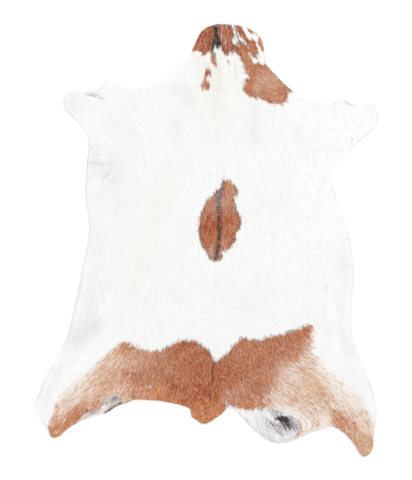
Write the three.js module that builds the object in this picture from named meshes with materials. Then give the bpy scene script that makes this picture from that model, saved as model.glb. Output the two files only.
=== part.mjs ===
// A tanned goatskin with the hair left on, laid out flat with the hair side up.
// Millimetres. +Z is up, +Y runs from the tail to the neck, +X to the animal's right as it lies here.
// The hide is one piece: a thin skin with short hair that lies along it, so it is one solid sheet.
// It rests on the middle of its underside, and its legs, flanks and cut ends lift a little.

import * as THREE from "three";
import { mergeVertices } from "three/addons/utils/BufferGeometryUtils.js";

// ---- sizes -----------------------------------------------------------------
const SKIN = 1.3; // thickness of the tanned skin alone
const PILE = 3.9; // depth of the hair that lies on it, over the back
const BELLY_PILE = 2.7; // depth of the shorter hair on the flanks and legs
const BELLY_BAND = 70; // how far in from the edge the belly hair reaches
const RIM_PILE = 1.3; // depth of the hair on the cut edge itself
const RIM_ROUND = 7; // how far in from the edge the hair reaches its depth
const RIM_STEP = 12; // spacing of the points along the cut edge
const PITCH = 24; // spacing of the points over the sheet
const JITTER = 0.8; // unevenness of that spacing

// ---- the cut edge, clockwise from the left side of the neck ----------------
const NECK = [
  { at: "neck root, left", x: -32, y: 397 },
  { at: "left corner of the cut", x: -7, y: 443 },
  { at: "top of the cut", x: 25, y: 456 },
  { at: "behind the ear", x: 73, y: 452 },
  { at: "right shoulder of the cut", x: 106, y: 438 },
  { at: "right corner of the cut", x: 118, y: 425 },
  { at: "throat side", x: 122, y: 397 },
  { at: "throat notch", x: 126, y: 370 },
  { at: "below the notch", x: 139, y: 356 },
  { at: "neck slope", x: 177, y: 318 },
  { at: "neck root, right", x: 191, y: 308 },
];
const RIGHT_FORELEG = [
  { at: "breast", x: 239, y: 299 },
  { at: "shoulder point", x: 287, y: 299 },
  { at: "elbow notch", x: 307, y: 286 },
  { at: "shin, upper", x: 343, y: 286 },
  { at: "tip, upper", x: 354, y: 275 },
  { at: "tip", x: 360, y: 259 },
  { at: "tip, lower", x: 355, y: 242 },
  { at: "shin, lower", x: 314, y: 204 },
  { at: "inner leg", x: 271, y: 156 },
  { at: "armpit, outer", x: 261, y: 150 },
  { at: "armpit", x: 257, y: 137 },
];
const RIGHT_FLANK = [
  { at: "ribs", x: 289, y: 48 },
  { at: "belly", x: 308, y: -44 },
  { at: "belly, rear", x: 307, y: -92 },
  { at: "flank", x: 302, y: -134 },
  { at: "stifle", x: 304, y: -193 },
];
const RIGHT_HIND_LEG = [
  { at: "thigh, front", x: 314, y: -226 },
  { at: "thigh", x: 345, y: -301 },
  { at: "hock", x: 358, y: -365 },
  { at: "shank", x: 350, y: -412 },
  { at: "tip, outer", x: 348, y: -437 },
  { at: "tip", x: 332, y: -453 },
  { at: "shank, inner", x: 309, y: -422 },
  { at: "hock, inner", x: 275, y: -392 },
  { at: "inner thigh", x: 263, y: -389 },
];
const RUMP = [
  { at: "buttock, outer", x: 237, y: -397 },
  { at: "buttock", x: 217, y: -403 },
  { at: "udder flap, right", x: 174, y: -420 },
  { at: "udder flap, left", x: 141, y: -421 },
  { at: "udder flap, root", x: 105, y: -399 },
  { at: "beside the tail, right", x: 50, y: -350 },
  { at: "tail, right", x: 29, y: -366 },
  { at: "tail tip", x: -5, y: -384 },
  { at: "tail, left", x: -20, y: -375 },
  { at: "tail corner", x: -31, y: -369 },
  { at: "tail notch", x: -32, y: -354 },
  { at: "buttock, left", x: -141, y: -333 },
];
const LEFT_HIND_LEG = [
  { at: "inner thigh, upper", x: -181, y: -345 },
  { at: "udder scallop", x: -212, y: -362 },
  { at: "inner thigh", x: -232, y: -367 },
  { at: "hock, inner", x: -288, y: -391 },
  { at: "shank, inner", x: -301, y: -404 },
  { at: "tip", x: -324, y: -413 },
  { at: "tip, outer", x: -330, y: -394 },
  { at: "shank", x: -346, y: -376 },
  { at: "hock", x: -359, y: -354 },
  { at: "hock, upper", x: -358, y: -339 },
  { at: "thigh, lower", x: -345, y: -316 },
  { at: "thigh", x: -339, y: -297 },
  { at: "thigh, upper", x: -319, y: -256 },
];
const LEFT_FLANK = [
  { at: "stifle", x: -287, y: -194 },
  { at: "belly", x: -246, y: 6 },
  { at: "ribs, rear", x: -245, y: 46 },
  { at: "ribs", x: -250, y: 71 },
  { at: "ribs, front", x: -252, y: 107 },
  { at: "behind the elbow", x: -249, y: 166 },
  { at: "armpit", x: -246, y: 195 },
];
const LEFT_FORELEG = [
  { at: "armpit, upper", x: -249, y: 223 },
  { at: "inner leg", x: -269, y: 250 },
  { at: "shin, lower", x: -292, y: 276 },
  { at: "tip", x: -297, y: 291 },
  { at: "tip, upper", x: -291, y: 306 },
  { at: "shin, upper", x: -268, y: 314 },
  { at: "elbow notch", x: -232, y: 315 },
  { at: "shoulder, rising", x: -215, y: 328 },
  { at: "shoulder point", x: -206, y: 338 },
  { at: "shoulder", x: -195, y: 337 },
  { at: "breast", x: -144, y: 329 },
  { at: "neck slope", x: -93, y: 342 },
  { at: "neck root", x: -47, y: 382 },
];
const EDGE = [
  NECK,
  RIGHT_FORELEG,
  RIGHT_FLANK,
  RIGHT_HIND_LEG,
  RUMP,
  LEFT_HIND_LEG,
  LEFT_FLANK,
  LEFT_FORELEG,
].flat();

// ---- where the sheet stands off the floor ----------------------------------
// Each is a soft mound: along and across are its half sizes, turn is the
// direction of its long side in degrees from +X, rise is its height.
const SWELLS = [
  { at: "neck end", x: 62, y: 462, along: 120, across: 52, turn: 0, rise: 4.5 },
  { at: "left foreleg", x: -302, y: 300, along: 78, across: 50, turn: 20, rise: 6 },
  { at: "right foreleg", x: 366, y: 262, along: 95, across: 60, turn: 50, rise: 7 },
  { at: "left elbow pucker", x: -226, y: 118, along: 62, across: 17, turn: 24, rise: 3 },
  { at: "right armpit edge", x: 262, y: 120, along: 60, across: 26, turn: 80, rise: 3 },
  { at: "left flank", x: -276, y: -118, along: 150, across: 58, turn: 78, rise: 6 },
  { at: "right flank", x: 318, y: -128, along: 128, across: 56, turn: 92, rise: 6 },
  { at: "left thigh edge", x: -352, y: -300, along: 70, across: 40, turn: 68, rise: 4 },
  { at: "left hock", x: -330, y: -415, along: 70, across: 48, turn: 45, rise: 6 },
  { at: "right hock", x: 348, y: -455, along: 90, across: 50, turn: 100, rise: 7 },
  { at: "left buttock edge", x: -120, y: -330, along: 85, across: 24, turn: 6, rise: 3 },
  { at: "tail", x: -4, y: -392, along: 46, across: 34, turn: 0, rise: 4 },
  { at: "udder flap", x: 158, y: -405, along: 66, across: 44, turn: 0, rise: 5 },
];

// ---- where the hair parts or the skin is drawn in --------------------------
// Each is a soft trough in the top, from one end to the other. half is half its width.
const TROUGHS = [
  { at: "parting of the neck", x0: 46, y0: 386, x1: 42, y1: 292, half: 16, deep: 1.2 },
  { at: "stripe of the back", x0: 30, y0: 110, x1: 22, y1: -46, half: 16, deep: 0.9 },
  { at: "whorl above the tail", x0: 17, y0: -268, x1: 6, y1: -336, half: 17, deep: 1.6 },
  { at: "left flank fold", x0: -222, y0: -78, x1: -208, y1: -196, half: 18, deep: 1.6 },
  { at: "right flank fold", x0: 262, y0: -104, x1: 276, y1: -228, half: 18, deep: 1.5 },
  { at: "left elbow fold", x0: -236, y0: 124, x1: -192, y1: 108, half: 15, deep: 1.5 },
  { at: "left leg pucker", x0: -238, y0: 304, x1: -204, y1: 300, half: 14, deep: 1.3 },
  { at: "right leg pucker", x0: 290, y0: 276, x1: 320, y1: 280, half: 14, deep: 1.3 },
];

// ---- the shape of the sheet ------------------------------------------------
const DEG = Math.PI / 180;

// A soft mound or trough: 1 in the middle, 0 and level from t = 1 outwards.
const soft = (t) => (t < 1 ? (1 - t * t) ** 2 : 0);

// Height of the underside above the floor.
function lift(x, y) {
  let z = 0;
  for (const s of SWELLS) {
    const dx = x - s.x,
      dy = y - s.y,
      c = Math.cos(s.turn * DEG),
      n = Math.sin(s.turn * DEG);
    const u = (dx * c + dy * n) / s.along,
      v = (-dx * n + dy * c) / s.across;
    z = Math.max(z, s.rise * soft(Math.hypot(u, v)));
  }
  return z;
}

// Distance from a point to a segment.
function toSegment(x, y, a, b) {
  const dx = b.x - a.x,
    dy = b.y - a.y;
  const t = Math.min(
    1,
    Math.max(0, ((x - a.x) * dx + (y - a.y) * dy) / (dx * dx + dy * dy)),
  );
  return Math.hypot(x - a.x - t * dx, y - a.y - t * dy);
}

// How much the hair is parted there.
function parted(x, y) {
  let z = 0;
  for (const t of TROUGHS) {
    const d = toSegment(x, y, { x: t.x0, y: t.y0 }, { x: t.x1, y: t.y1 });
    z = Math.max(z, t.deep * soft(d / t.half));
  }
  return z;
}

// Thickness of skin and hair together, at a distance in from the cut edge.
function thickness(x, y, inset) {
  const rim = Math.min(1, inset / RIM_ROUND);
  const back = Math.min(1, inset / BELLY_BAND);
  const depth = BELLY_PILE + (PILE - BELLY_PILE) * back * back * (3 - 2 * back);
  return SKIN + RIM_PILE + (depth - RIM_PILE) * rim - parted(x, y) * rim;
}

// ---- points over the sheet -------------------------------------------------
const smoothEdge = new THREE.CatmullRomCurve3(
  EDGE.map((p) => new THREE.Vector3(p.x, p.y, 0)),
  true,
  "centripetal",
);
const rimCount = Math.round(smoothEdge.getLength() / RIM_STEP);
const rim = smoothEdge.getSpacedPoints(rimCount).slice(0, rimCount).reverse(); // anticlockwise

// The same ring, moved in towards the middle of the sheet.
function insetRing(ring, by) {
  return ring.map((p, i) => {
    const a = ring[(i + ring.length - 1) % ring.length],
      b = ring[(i + 1) % ring.length];
    const d = new THREE.Vector3().subVectors(b, a).normalize();
    return new THREE.Vector3(p.x - d.y * by, p.y + d.x * by, 0);
  });
}

function inside(x, y, ring) {
  let odd = false;
  ring.forEach((a, i) => {
    const b = ring[(i + 1) % ring.length];
    if (a.y > y !== b.y > y && x < a.x + ((y - a.y) / (b.y - a.y)) * (b.x - a.x))
      odd = !odd;
  });
  return odd;
}

function toRing(x, y, ring) {
  let least = Infinity;
  ring.forEach((a, i) => {
    least = Math.min(least, toSegment(x, y, a, ring[(i + 1) % ring.length]));
  });
  return least;
}

// A small repeatable unevenness, from -1 to 1.
const wobble = (i, k) => 2 * (((Math.sin(i * 12.9898 + k * 78.233) * 43758.5453) % 1) + 1) % 2 - 1;

const inner = insetRing(rim, RIM_ROUND);
const points = [...rim, ...inner];
const taken = (x, y, gap) => points.some((p) => Math.hypot(p.x - x, p.y - y) < gap);

// Three lines of points along each trough, so that it keeps its shape.
for (const t of TROUGHS) {
  const dx = t.x1 - t.x0,
    dy = t.y1 - t.y0,
    long = Math.hypot(dx, dy);
  const steps = Math.max(2, Math.round(long / 16));
  for (let i = 0; i <= steps; i++)
    for (const side of [-1, 0, 1]) {
      const x = t.x0 + (dx * i) / steps - (dy / long) * side * t.half * 0.8;
      const y = t.y0 + (dy * i) / steps + (dx / long) * side * t.half * 0.8;
      if (inside(x, y, inner) && toRing(x, y, inner) > 5 && !taken(x, y, 8))
        points.push(new THREE.Vector3(x, y, 0));
    }
}

// An even triangular spread over the rest.
const ROW = (PITCH * Math.sqrt(3)) / 2;
for (let j = -20; j <= 20; j++)
  for (let i = -17; i <= 17; i++) {
    const k = j * 100 + i;
    const x = (i + (j % 2 ? 0.5 : 0)) * PITCH + wobble(k, 1) * JITTER;
    const y = j * ROW + wobble(k, 2) * JITTER;
    if (
      inside(x, y, inner) &&
      toRing(x, y, inner) > PITCH * 0.42 &&
      !taken(x, y, PITCH * 0.5)
    )
      points.push(new THREE.Vector3(x, y, 0));
  }

// Joins the points into triangles that are as even as they can be.
function delaunay(all) {
  const far = 5000,
    n = all.length;
  const p = [
    ...all.map((q) => [q.x, q.y]),
    [-far, -far],
    [far, -far],
    [0, far],
  ];
  const circle = (t) => {
    const [ax, ay] = p[t[0]],
      [bx, by] = p[t[1]],
      [cx, cy] = p[t[2]];
    const d = 2 * (ax * (by - cy) + bx * (cy - ay) + cx * (ay - by));
    const a = ax * ax + ay * ay,
      b = bx * bx + by * by,
      c = cx * cx + cy * cy;
    const x = (a * (by - cy) + b * (cy - ay) + c * (ay - by)) / d,
      y = (a * (cx - bx) + b * (ax - cx) + c * (bx - ax)) / d;
    return { t, x, y, r2: (ax - x) ** 2 + (ay - y) ** 2 };
  };
  let made = [circle([n, n + 1, n + 2])];
  for (let i = 0; i < n; i++) {
    const [x, y] = p[i],
      open = new Map(),
      kept = [];
    for (const m of made) {
      if ((x - m.x) ** 2 + (y - m.y) ** 2 >= m.r2) {
        kept.push(m);
        continue;
      }
      for (const [a, b] of [
        [m.t[0], m.t[1]],
        [m.t[1], m.t[2]],
        [m.t[2], m.t[0]],
      ])
        if (!open.delete(b + "," + a)) open.set(a + "," + b, [a, b]);
    }
    for (const [a, b] of open.values()) kept.push(circle([a, b, i]));
    made = kept;
  }
  return made.map((m) => m.t).filter((t) => t.every((v) => v < n));
}

const sheet = delaunay(points).filter((t) => {
  const x = (points[t[0]].x + points[t[1]].x + points[t[2]].x) / 3;
  const y = (points[t[0]].y + points[t[1]].y + points[t[2]].y) / 3;
  return inside(x, y, rim);
});

// ---- the closed solid: underside, top and cut edge -------------------------
const count = points.length;
const position = new Float32Array(count * 6);
points.forEach((p, i) => {
  const under = lift(p.x, p.y);
  const inset = i < rimCount ? 0 : toRing(p.x, p.y, rim);
  position.set([p.x, p.y, under], i * 3);
  position.set([p.x, p.y, under + thickness(p.x, p.y, inset)], (count + i) * 3);
});
const index = [];
for (const [a, b, c] of sheet) {
  index.push(a, c, b); // underside
  index.push(a + count, b + count, c + count); // hair side
}
for (let i = 0; i < rimCount; i++) {
  const j = (i + 1) % rimCount;
  index.push(i, j, j + count, i, j + count, i + count); // cut edge
}

const hide = new THREE.BufferGeometry();
hide.setAttribute("position", new THREE.BufferAttribute(position, 3));
hide.setIndex(index);
hide.computeBoundingBox();
const middle = hide.boundingBox.getCenter(new THREE.Vector3());
hide.translate(-middle.x, -middle.y, -hide.boundingBox.min.z);
const closed = mergeVertices(hide, 1e-4);
closed.computeVertexNormals();

// ---- the finished piece ----------------------------------------------------
const hair = new THREE.MeshStandardMaterial({
  color: new THREE.Color(0.93, 0.925, 0.91),
  roughness: 0.75,
  metalness: 0,
});

const goatskin = new THREE.Group();
goatskin.name = "goatskin";
const mesh = new THREE.Mesh(closed, hair);
mesh.name = "hide";
goatskin.add(mesh);

export default goatskin;
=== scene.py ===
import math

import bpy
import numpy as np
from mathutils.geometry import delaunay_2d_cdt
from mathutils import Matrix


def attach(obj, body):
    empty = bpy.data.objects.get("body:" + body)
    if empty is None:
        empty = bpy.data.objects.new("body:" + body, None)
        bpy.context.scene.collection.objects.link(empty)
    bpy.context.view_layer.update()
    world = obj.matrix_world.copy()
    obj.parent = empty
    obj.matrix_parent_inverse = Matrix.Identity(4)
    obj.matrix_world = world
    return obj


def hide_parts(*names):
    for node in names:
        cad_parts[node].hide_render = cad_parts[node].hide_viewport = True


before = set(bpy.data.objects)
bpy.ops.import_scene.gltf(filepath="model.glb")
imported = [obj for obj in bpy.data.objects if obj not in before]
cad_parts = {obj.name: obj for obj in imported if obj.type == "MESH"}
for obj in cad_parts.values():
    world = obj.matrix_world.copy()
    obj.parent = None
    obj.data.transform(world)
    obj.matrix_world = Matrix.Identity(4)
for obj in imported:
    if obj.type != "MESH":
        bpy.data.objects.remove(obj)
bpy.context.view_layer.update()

# A tanned goatskin with its hair left on, laid flat with the hair side up.
# The skin is a thin closed sheet, and the hair on it is real: short flat blades
# that are rooted in the skin, lie along it and end in a point, in joined meshes.
# Everything is in metres. Places on the coat are given in pixels of the 412 x 480
# photograph, because the coat's patches were placed against it.

SEED = 11

# ---- sizes -------------------------------------------------------------------
PIXEL = 0.0021  # metres on the hide for one pixel of the photograph
PHOTO_MIDDLE = (206.0, 241.0)  # the pixel that the edge tables were measured from
SHIFT = (0.00030, 0.00251)  # from there to the middle of the hide's own box

SKIN = 0.0013  # thickness of the tanned skin alone
PILE = 0.0039  # depth of the hair that lies on it, over the back
BELLY_PILE = 0.0027  # the same on the flanks and legs
BELLY_BAND = 0.070  # how far in from the cut edge the belly hair reaches
RIM_PILE = 0.0013  # depth of the hair on the cut edge itself
RIM_ROUND = 0.007  # how far in from the edge the hair reaches its depth

HAIR_STEP = 0.00125  # spacing of the blades' roots
HAIR_WIDTH = 0.00105  # a blade stands for a lock of some ten hairs
HAIR_LONG = 0.0205  # length of a blade on the back
HAIR_SHORT = 0.0125  # and at the cut edge and on the legs
CLUMP_STEP = 0.0052  # spacing of the locks that the blades lean together in
SHOWS_AT = 0.65  # how far along a blade the part is that shows


def table(columns, *rows):
    """A short table with named columns."""
    return {c: np.array([r[i] for r in rows]) for i, c in enumerate(columns.split())}


# ---- where the sheet stands off the floor, in millimetres before SHIFT ---------
SWELLS = table(
    "x y along across turn rise",
    (62, 462, 120, 52, 0, 4.5),  # neck end
    (-302, 300, 78, 50, 20, 6),  # left foreleg
    (366, 262, 95, 60, 50, 7),  # right foreleg
    (-226, 118, 62, 17, 24, 3),  # left elbow pucker
    (262, 120, 60, 26, 80, 3),  # right armpit
    (-276, -118, 150, 58, 78, 6),  # left flank
    (318, -128, 128, 56, 92, 6),  # right flank
    (-352, -300, 70, 40, 68, 4),  # left thigh
    (-330, -415, 70, 48, 45, 6),  # left hock
    (348, -455, 90, 50, 100, 7),  # right hock
    (-120, -330, 85, 24, 6, 3),  # left buttock
    (-4, -392, 46, 34, 0, 4),  # tail
    (158, -405, 66, 44, 0, 5),  # udder flap
)

# ---- where the hair parts or the skin is drawn in, in millimetres --------------
TROUGHS = table(
    "x0 y0 x1 y1 half deep",
    (46, 386, 42, 292, 16, 1.2),  # parting of the neck
    (30, 110, 22, -46, 16, 0.9),  # stripe of the back
    (17, -268, 6, -336, 17, 1.6),  # whorl above the tail
    (-222, -78, -208, -196, 18, 1.6),  # left flank fold
    (262, -104, 276, -228, 18, 1.5),  # right flank fold
    (-236, 124, -192, 108, 15, 1.5),  # left elbow fold
    (-238, 304, -204, 300, 14, 1.3),  # left leg pucker
    (290, 276, 320, 280, 14, 1.3),  # right leg pucker
)

# ---- where the hide is cut a little further in than the smooth edge, in millimetres
TRIMS = table(
    "x y reach by",
    (227, 23, 8, 1.5),  # top of the neck
    (263, 40, 7, 2.0),  # right edge of the neck
    (136, 401, 7, 1.2),  # left buttock
    (160, 401, 5, 1.3),
)

# ---- which way the hair lies: heading in degrees, 0 to the right, 90 to the neck
FLOW = table(
    "x y reach heading",
    (200, 45, 9, -112),  # neck, left
    (216, 40, 8, -93),
    (227, 40, 7, -78),
    (238, 36, 7, -62),  # neck, right
    (252, 46, 9, -55),
    (262, 44, 7, -62),
    (197, 80, 14, -112),
    (215, 75, 10, -94),
    (228, 75, 8, -88),
    (248, 68, 9, -46),  # lobe on the right of the neck
    (262, 82, 10, -32),
    (256, 96, 8, -22),
    (280, 97, 9, -6),
    (175, 100, 20, -118),  # left shoulder
    (140, 105, 18, -135),
    (105, 98, 14, -168),  # left foreleg
    (74, 103, 12, -172),
    (88, 125, 12, -150),
    (100, 165, 14, -150),  # left elbow
    (130, 150, 20, -122),
    (240, 120, 22, -86),  # withers
    (290, 112, 18, -52),  # right shoulder
    (325, 120, 16, -38),
    (350, 108, 12, -12),  # right foreleg
    (372, 112, 12, -18),
    (340, 150, 12, -44),
    (318, 185, 14, -58),  # right armpit
    (215, 180, 30, -91),  # back
    (160, 200, 30, -104),
    (275, 200, 28, -76),
    (102, 230, 20, -108),  # flanks
    (330, 235, 20, -72),
    (215, 260, 30, -91),
    (150, 280, 30, -101),
    (285, 280, 28, -77),
    (95, 300, 18, -112),
    (338, 300, 18, -68),
    (210, 320, 22, -92),  # croup
    (165, 340, 20, -98),
    (258, 325, 20, -78),
    (80, 345, 14, -118),  # left thigh
    (112, 362, 14, -132),
    (90, 390, 13, -138),
    (62, 392, 13, -118),
    (70, 418, 12, -140),  # left hind leg
    (56, 430, 8, -125),
    (140, 375, 14, -118),
    (115, 400, 9, -160),
    (165, 385, 16, -100),
    (196, 375, 14, -96),  # tail
    (205, 405, 12, -92),
    (222, 372, 8, -82),
    (240, 375, 14, -72),
    (278, 350, 16, -58),
    (308, 337, 12, -22),  # right buttock
    (262, 392, 12, -60),
    (300, 372, 16, -36),
    (330, 390, 14, -40),  # right thigh
    (352, 372, 12, -62),
    (345, 412, 12, -52),
    (365, 440, 12, -62),  # right hind leg
    (300, 398, 12, -28),
    (256, 419, 8, -74),  # udder flap, whose hair turns round its spot
    (262, 432, 6, -86),
    (271, 430, 6, -60),
    (280, 434, 6, -58),
    (285, 424, 6, -45),
    (293, 430, 6, -62),
    (284, 414, 6, -24),
    (310, 420, 6, -102),
    (301, 430, 6, -138),
    (316, 411, 5, -60),
    (325, 416, 9, -22),
)

# ---- colours as they look in soft daylight, in sRGB ---------------------------
COAT = {
    "white": (247, 247, 245),
    "bright": (252, 252, 251),
    "ivory": (241, 240, 234),
    "grey_white": (238, 238, 237),
    "ash": (222, 221, 222),
    "grey": (200, 198, 200),
    "violet": (158, 150, 157),
    "cream": (243, 231, 217),
    "pale": (246, 240, 234),
    "sand": (218, 176, 136),
    "tan": (206, 152, 112),
    "amber": (207, 138, 100),
    "rust": (199, 131, 88),
    "rose": (196, 140, 115),
    "blush": (207, 161, 134),
    "fawn": (204, 153, 121),
    "brown": (190, 126, 92),
    "warm": (184, 113, 76),
    "copper": (188, 119, 80),
    "deep": (179, 101, 58),
    "russet": (168, 98, 66),
    "umber": (120, 84, 70),
    "stone": (227, 224, 217),
    "slate": (96, 92, 94),
    "black": (31, 35, 43),
}

# Slow changes in the white hair: thin hair and skin that shows through are greyer, and the greys in the folds, puckers
# and creases are painted shade. The grey all along the left is painted shade and the bright on the right is painted
# light.
WHITE_TONES = table(
    "x y along across turn tone share",
    (95, 94.5, 9, 2.6, -12, "grey", 0.30),  # left foreleg, pucker: painted shade
    (108, 190, 30, 120, 0, "grey_white", 0.3),  # all along the left: painted shade
    (76, 104, 18, 12, 0, "grey_white", 0.45),
    (94, 151, 10, 5, 80, "grey_white", 0.9),  # left elbow: painted shade in its creases
    (103, 163.5, 11, 3.2, -4, "ash", 0.75),
    (108, 178, 13, 12, 0, "grey_white", 0.75),
    (115, 165, 5, 8, 0, "grey_white", 0.5),
    (124, 120, 22, 18, 0, "grey_white", 0.12),
    (178, 90, 11, 8, 0, "ash", 0.30),  # stain beside the neck
    (188, 97, 4, 8, 10, "ash", 0.38),
    (180, 125, 8, 18, -5, "grey_white", 0.4),
    (235.4, 38, 8, 2.8, -72, "grey", 0.3),  # between the cap and the strap
    (256, 52, 8, 3, -55, "ash", 0.3),
    (217, 84, 10, 34, 0, "ivory", 0.8),  # under the neck
    (205, 62, 14, 14, 0, "ivory", 0.7),
    (196, 100, 8, 12, 0, "ivory", 0.5),
    (255, 112, 7, 12, 0, "ash", 0.24),  # stain below the lobe
    (253, 128, 5, 9, 0, "ash", 0.28),
    (256, 141, 5, 9, -35, "ash", 0.34),
    (295, 126, 7, 5, 0, "grey_white", 0.5),
    (316, 150, 20, 10, 0, "grey_white", 0.28),
    (160, 205, 10, 30, -25, "ivory", 0.35),
    (142, 262, 10, 26, -15, "ivory", 0.35),
    (148, 268, 5, 5, 0, "grey_white", 0.35),
    (178, 293, 10, 7, 0, "grey_white", 0.35),
    (275, 205, 14, 13, 0, "grey_white", 0.5),
    (284, 192, 6, 6, 0, "grey_white", 0.4),
    (285, 288, 24, 9, 4, "grey_white", 0.25),
    (247, 305, 16, 8, 0, "grey_white", 0.4),
    (96, 255, 8, 30, 0, "grey_white", 0.35),  # left flank: painted shade along its fold
    (92, 300, 9, 24, -10, "grey_white", 0.75),
    (92, 326, 13, 10, 25, "ash", 0.5),
    (76, 338, 14, 12, 40, "ash", 0.48),
    (57, 371, 7, 5, 60, "ash", 0.45),  # left thigh, outer edge
    (50, 388, 14, 5, 60, "grey_white", 0.7),
    (44, 405, 6, 8, 0, "grey_white", 0.5),
    (80, 362, 22, 3.5, 50, "bright", 0.7),
    (343, 262, 7, 18, 8, "grey_white", 0.75),  # right flank: painted shade along its fold
    (338, 303, 9, 14, 0, "grey_white", 0.6),
    (325, 296, 1.6, 16, 0, "grey_white", 0.5),
    (335, 328, 13, 9, 0, "ash", 0.28),
    (346, 345, 12, 8, -45, "ash", 0.34),
    (352, 372, 30, 8, 118, "grey_white", 0.3),
    (370, 418, 6, 6, 0, "ash", 0.5),
    (372, 106, 6, 5, 0, "grey_white", 0.5),
    (72, 103, 6, 9, 0, "grey_white", 0.6),  # left foreleg
    (343, 108, 5, 3, 0, "ash", 0.35),  # right foreleg, pucker: painted shade
    (352, 104, 7, 2.4, -20, "grey", 0.30),
    # Bright on the right half, where the light comes from: painted light
    (250, 165, 18, 14, 0, "bright", 0.2),
    (270, 262, 22, 26, 0, "bright", 0.2),
    (300, 190, 44, 130, 0, "bright", 0.4),  # all along the right: painted light
    (345, 122, 34, 18, 0, "bright", 0.5),
    (100, 166, 17, 15, 0, "grey_white", 0.6),
    (262, 428, 15, 9, -30, "ash", 0.5),  # udder flap
    (276, 430, 15, 12, -20, "grey", 0.5),
    (292, 434, 12, 7, 10, "ash", 0.8),
    (264, 410.4, 10, 5, -14, "grey", 0.65),
    (277, 411.4, 5, 1.8, -4, "grey", 0.9),
    (261.5, 409, 2.6, 2.6, 0, "grey", 0.6),
    (266, 416, 4, 4, 0, "ash", 0.7),
    (299, 417, 7, 5, -30, "white", 0.6),
)

# ---- the coat's patches, each an outline with how gradual its border is --------
CAP = table(  # the neck, left and middle
    "x y fade",
    (187, 53, 1), (189, 38, 1), (201, 20, 1), (218, 14, 1), (232.6, 16, 1),
    (232.8, 27, 1), (233.6, 34, 1), (232.2, 40, 1), (231.6, 46.2, 1), (230.4, 53.2, 1),
    (226.8, 54.4, 1), (224.4, 51.8, 1), (221.8, 48, 1), (219, 47.8, 1), (216.4, 47.4, 1),
    (215.2, 45.6, 1), (214, 47, 1), (213.4, 50.5, 1), (211.5, 53.5, 1), (208, 52.6, 1), (204, 55.4, 1), (200.8, 51, 1), (194, 51.2, 1),
)
BAND = table(  # the strap on the right of the neck
    "x y fade",
    (234, 16, 1), (237.6, 18, 1), (239.6, 26.6, 1), (243.3, 30.4, 1), (246, 34, 1),
    (247.4, 38, 1), (250, 39.2, 1), (253.6, 39.4, 1), (256.1, 43.6, 1), (257.4, 49.6, 1),
    (257.4, 55.2, 1), (255.2, 58.4, 1), (250.8, 56, 1), (248.8, 51, 1), (247.4, 46, 1),
    (246, 42.6, 1), (243.3, 38.9, 1), (241, 36.5, 1), (238.5, 34.8, 1), (237, 31.6, 1),
    (235.5, 27.4, 1),
)
LOBE = table(  # from under the strap to the right shoulder
    "x y fade",
    (229, 43, 1), (232, 43.4, 1), (235.6, 45.2, 1), (239.2, 43.3, 1), (246, 43.6, 1), (249.4, 50, 1),
    (246.9, 50, 1), (249.6, 55.4, 1), (252.2, 61.6, 1), (259, 64, 1), (268, 64, 1),
    (298, 88.6, 1), (291, 91.6, 1), (288, 96.2, 1), (286.8, 101, 1), (281, 104, 1),
    (273.5, 105, 1), (265.2, 101.4, 1), (258.4, 97, 1), (253.6, 98.4, 1),
    (246.4, 94.4, 1), (241.3, 87.4, 1), (245.2, 80.9, 1), (249.2, 77.6, 1), (245.4, 71.4, 1),
    (242.6, 63.6, 1), (240.7, 57.2, 1), (235.2, 52.2, 1), (229.5, 53.2, 1),
)
CHEEK = table(  # the small piece on the neck's right edge
    "x y fade",
    (257.3, 41.2, 1), (257.8, 37.4, 1), (260.6, 33, 1), (270, 44, 1), (268, 52, 1),
    (263.6, 51.6, 1), (261, 48.2, 1), (258.6, 45.4, 1),
)
FLECK = table("x y fade", (246.6, 28, 1), (250.6, 28.2, 1), (253.4, 33.4, 1), (251, 34.2, 1), (247.9, 31, 1))
DROP = table("x y fade", (210, 52, 1), (213.8, 52, 1), (215.6, 57.6, 1), (217.6, 66, 1), (214.2, 66.4, 1), (210.9, 60.4, 1))
SPOT_A = table("x y fade", (207.6, 67.4, 1), (210.2, 69, 1), (211.7, 73.6, 1), (209.6, 77.4, 1), (204, 77, 1), (205.5, 70.4, 1))
SPOT_B = table("x y fade", (204.6, 77.8, 1), (207.9, 80, 1), (210.8, 82.1, 1), (208.8, 89, 1), (202.2, 89.6, 1), (200.4, 86.8, 1), (201.8, 82.6, 1))
SADDLE = table(  # the patch on the back
    "x y fade",
    (223.6, 178, 1), (229, 180, 1), (235.8, 184.5, 1), (238, 190.6, 1),
    (236.6, 195, 1), (233.5, 197.5, 1), (235, 204.4, 1), (238, 212, 1),
    (241.2, 218, 1), (240.4, 226, 1), (236.6, 232.7, 1), (235, 241, 1),
    (230.4, 248, 1), (225.4, 250.4, 1), (221.6, 251, 1), (223, 256.6, 1),
    (219, 260, 1), (215, 261, 1), (210.6, 258.9, 1), (206.9, 253.8, 1), (202.2, 246.9, 1),
    (199.8, 238, 1), (198.7, 229, 1), (199.4, 219.3, 1), (202.2, 209.6, 1),
    (206, 200.2, 1), (212.2, 195.9, 1), (217, 190.8, 1), (222.2, 184, 1),
)
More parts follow.
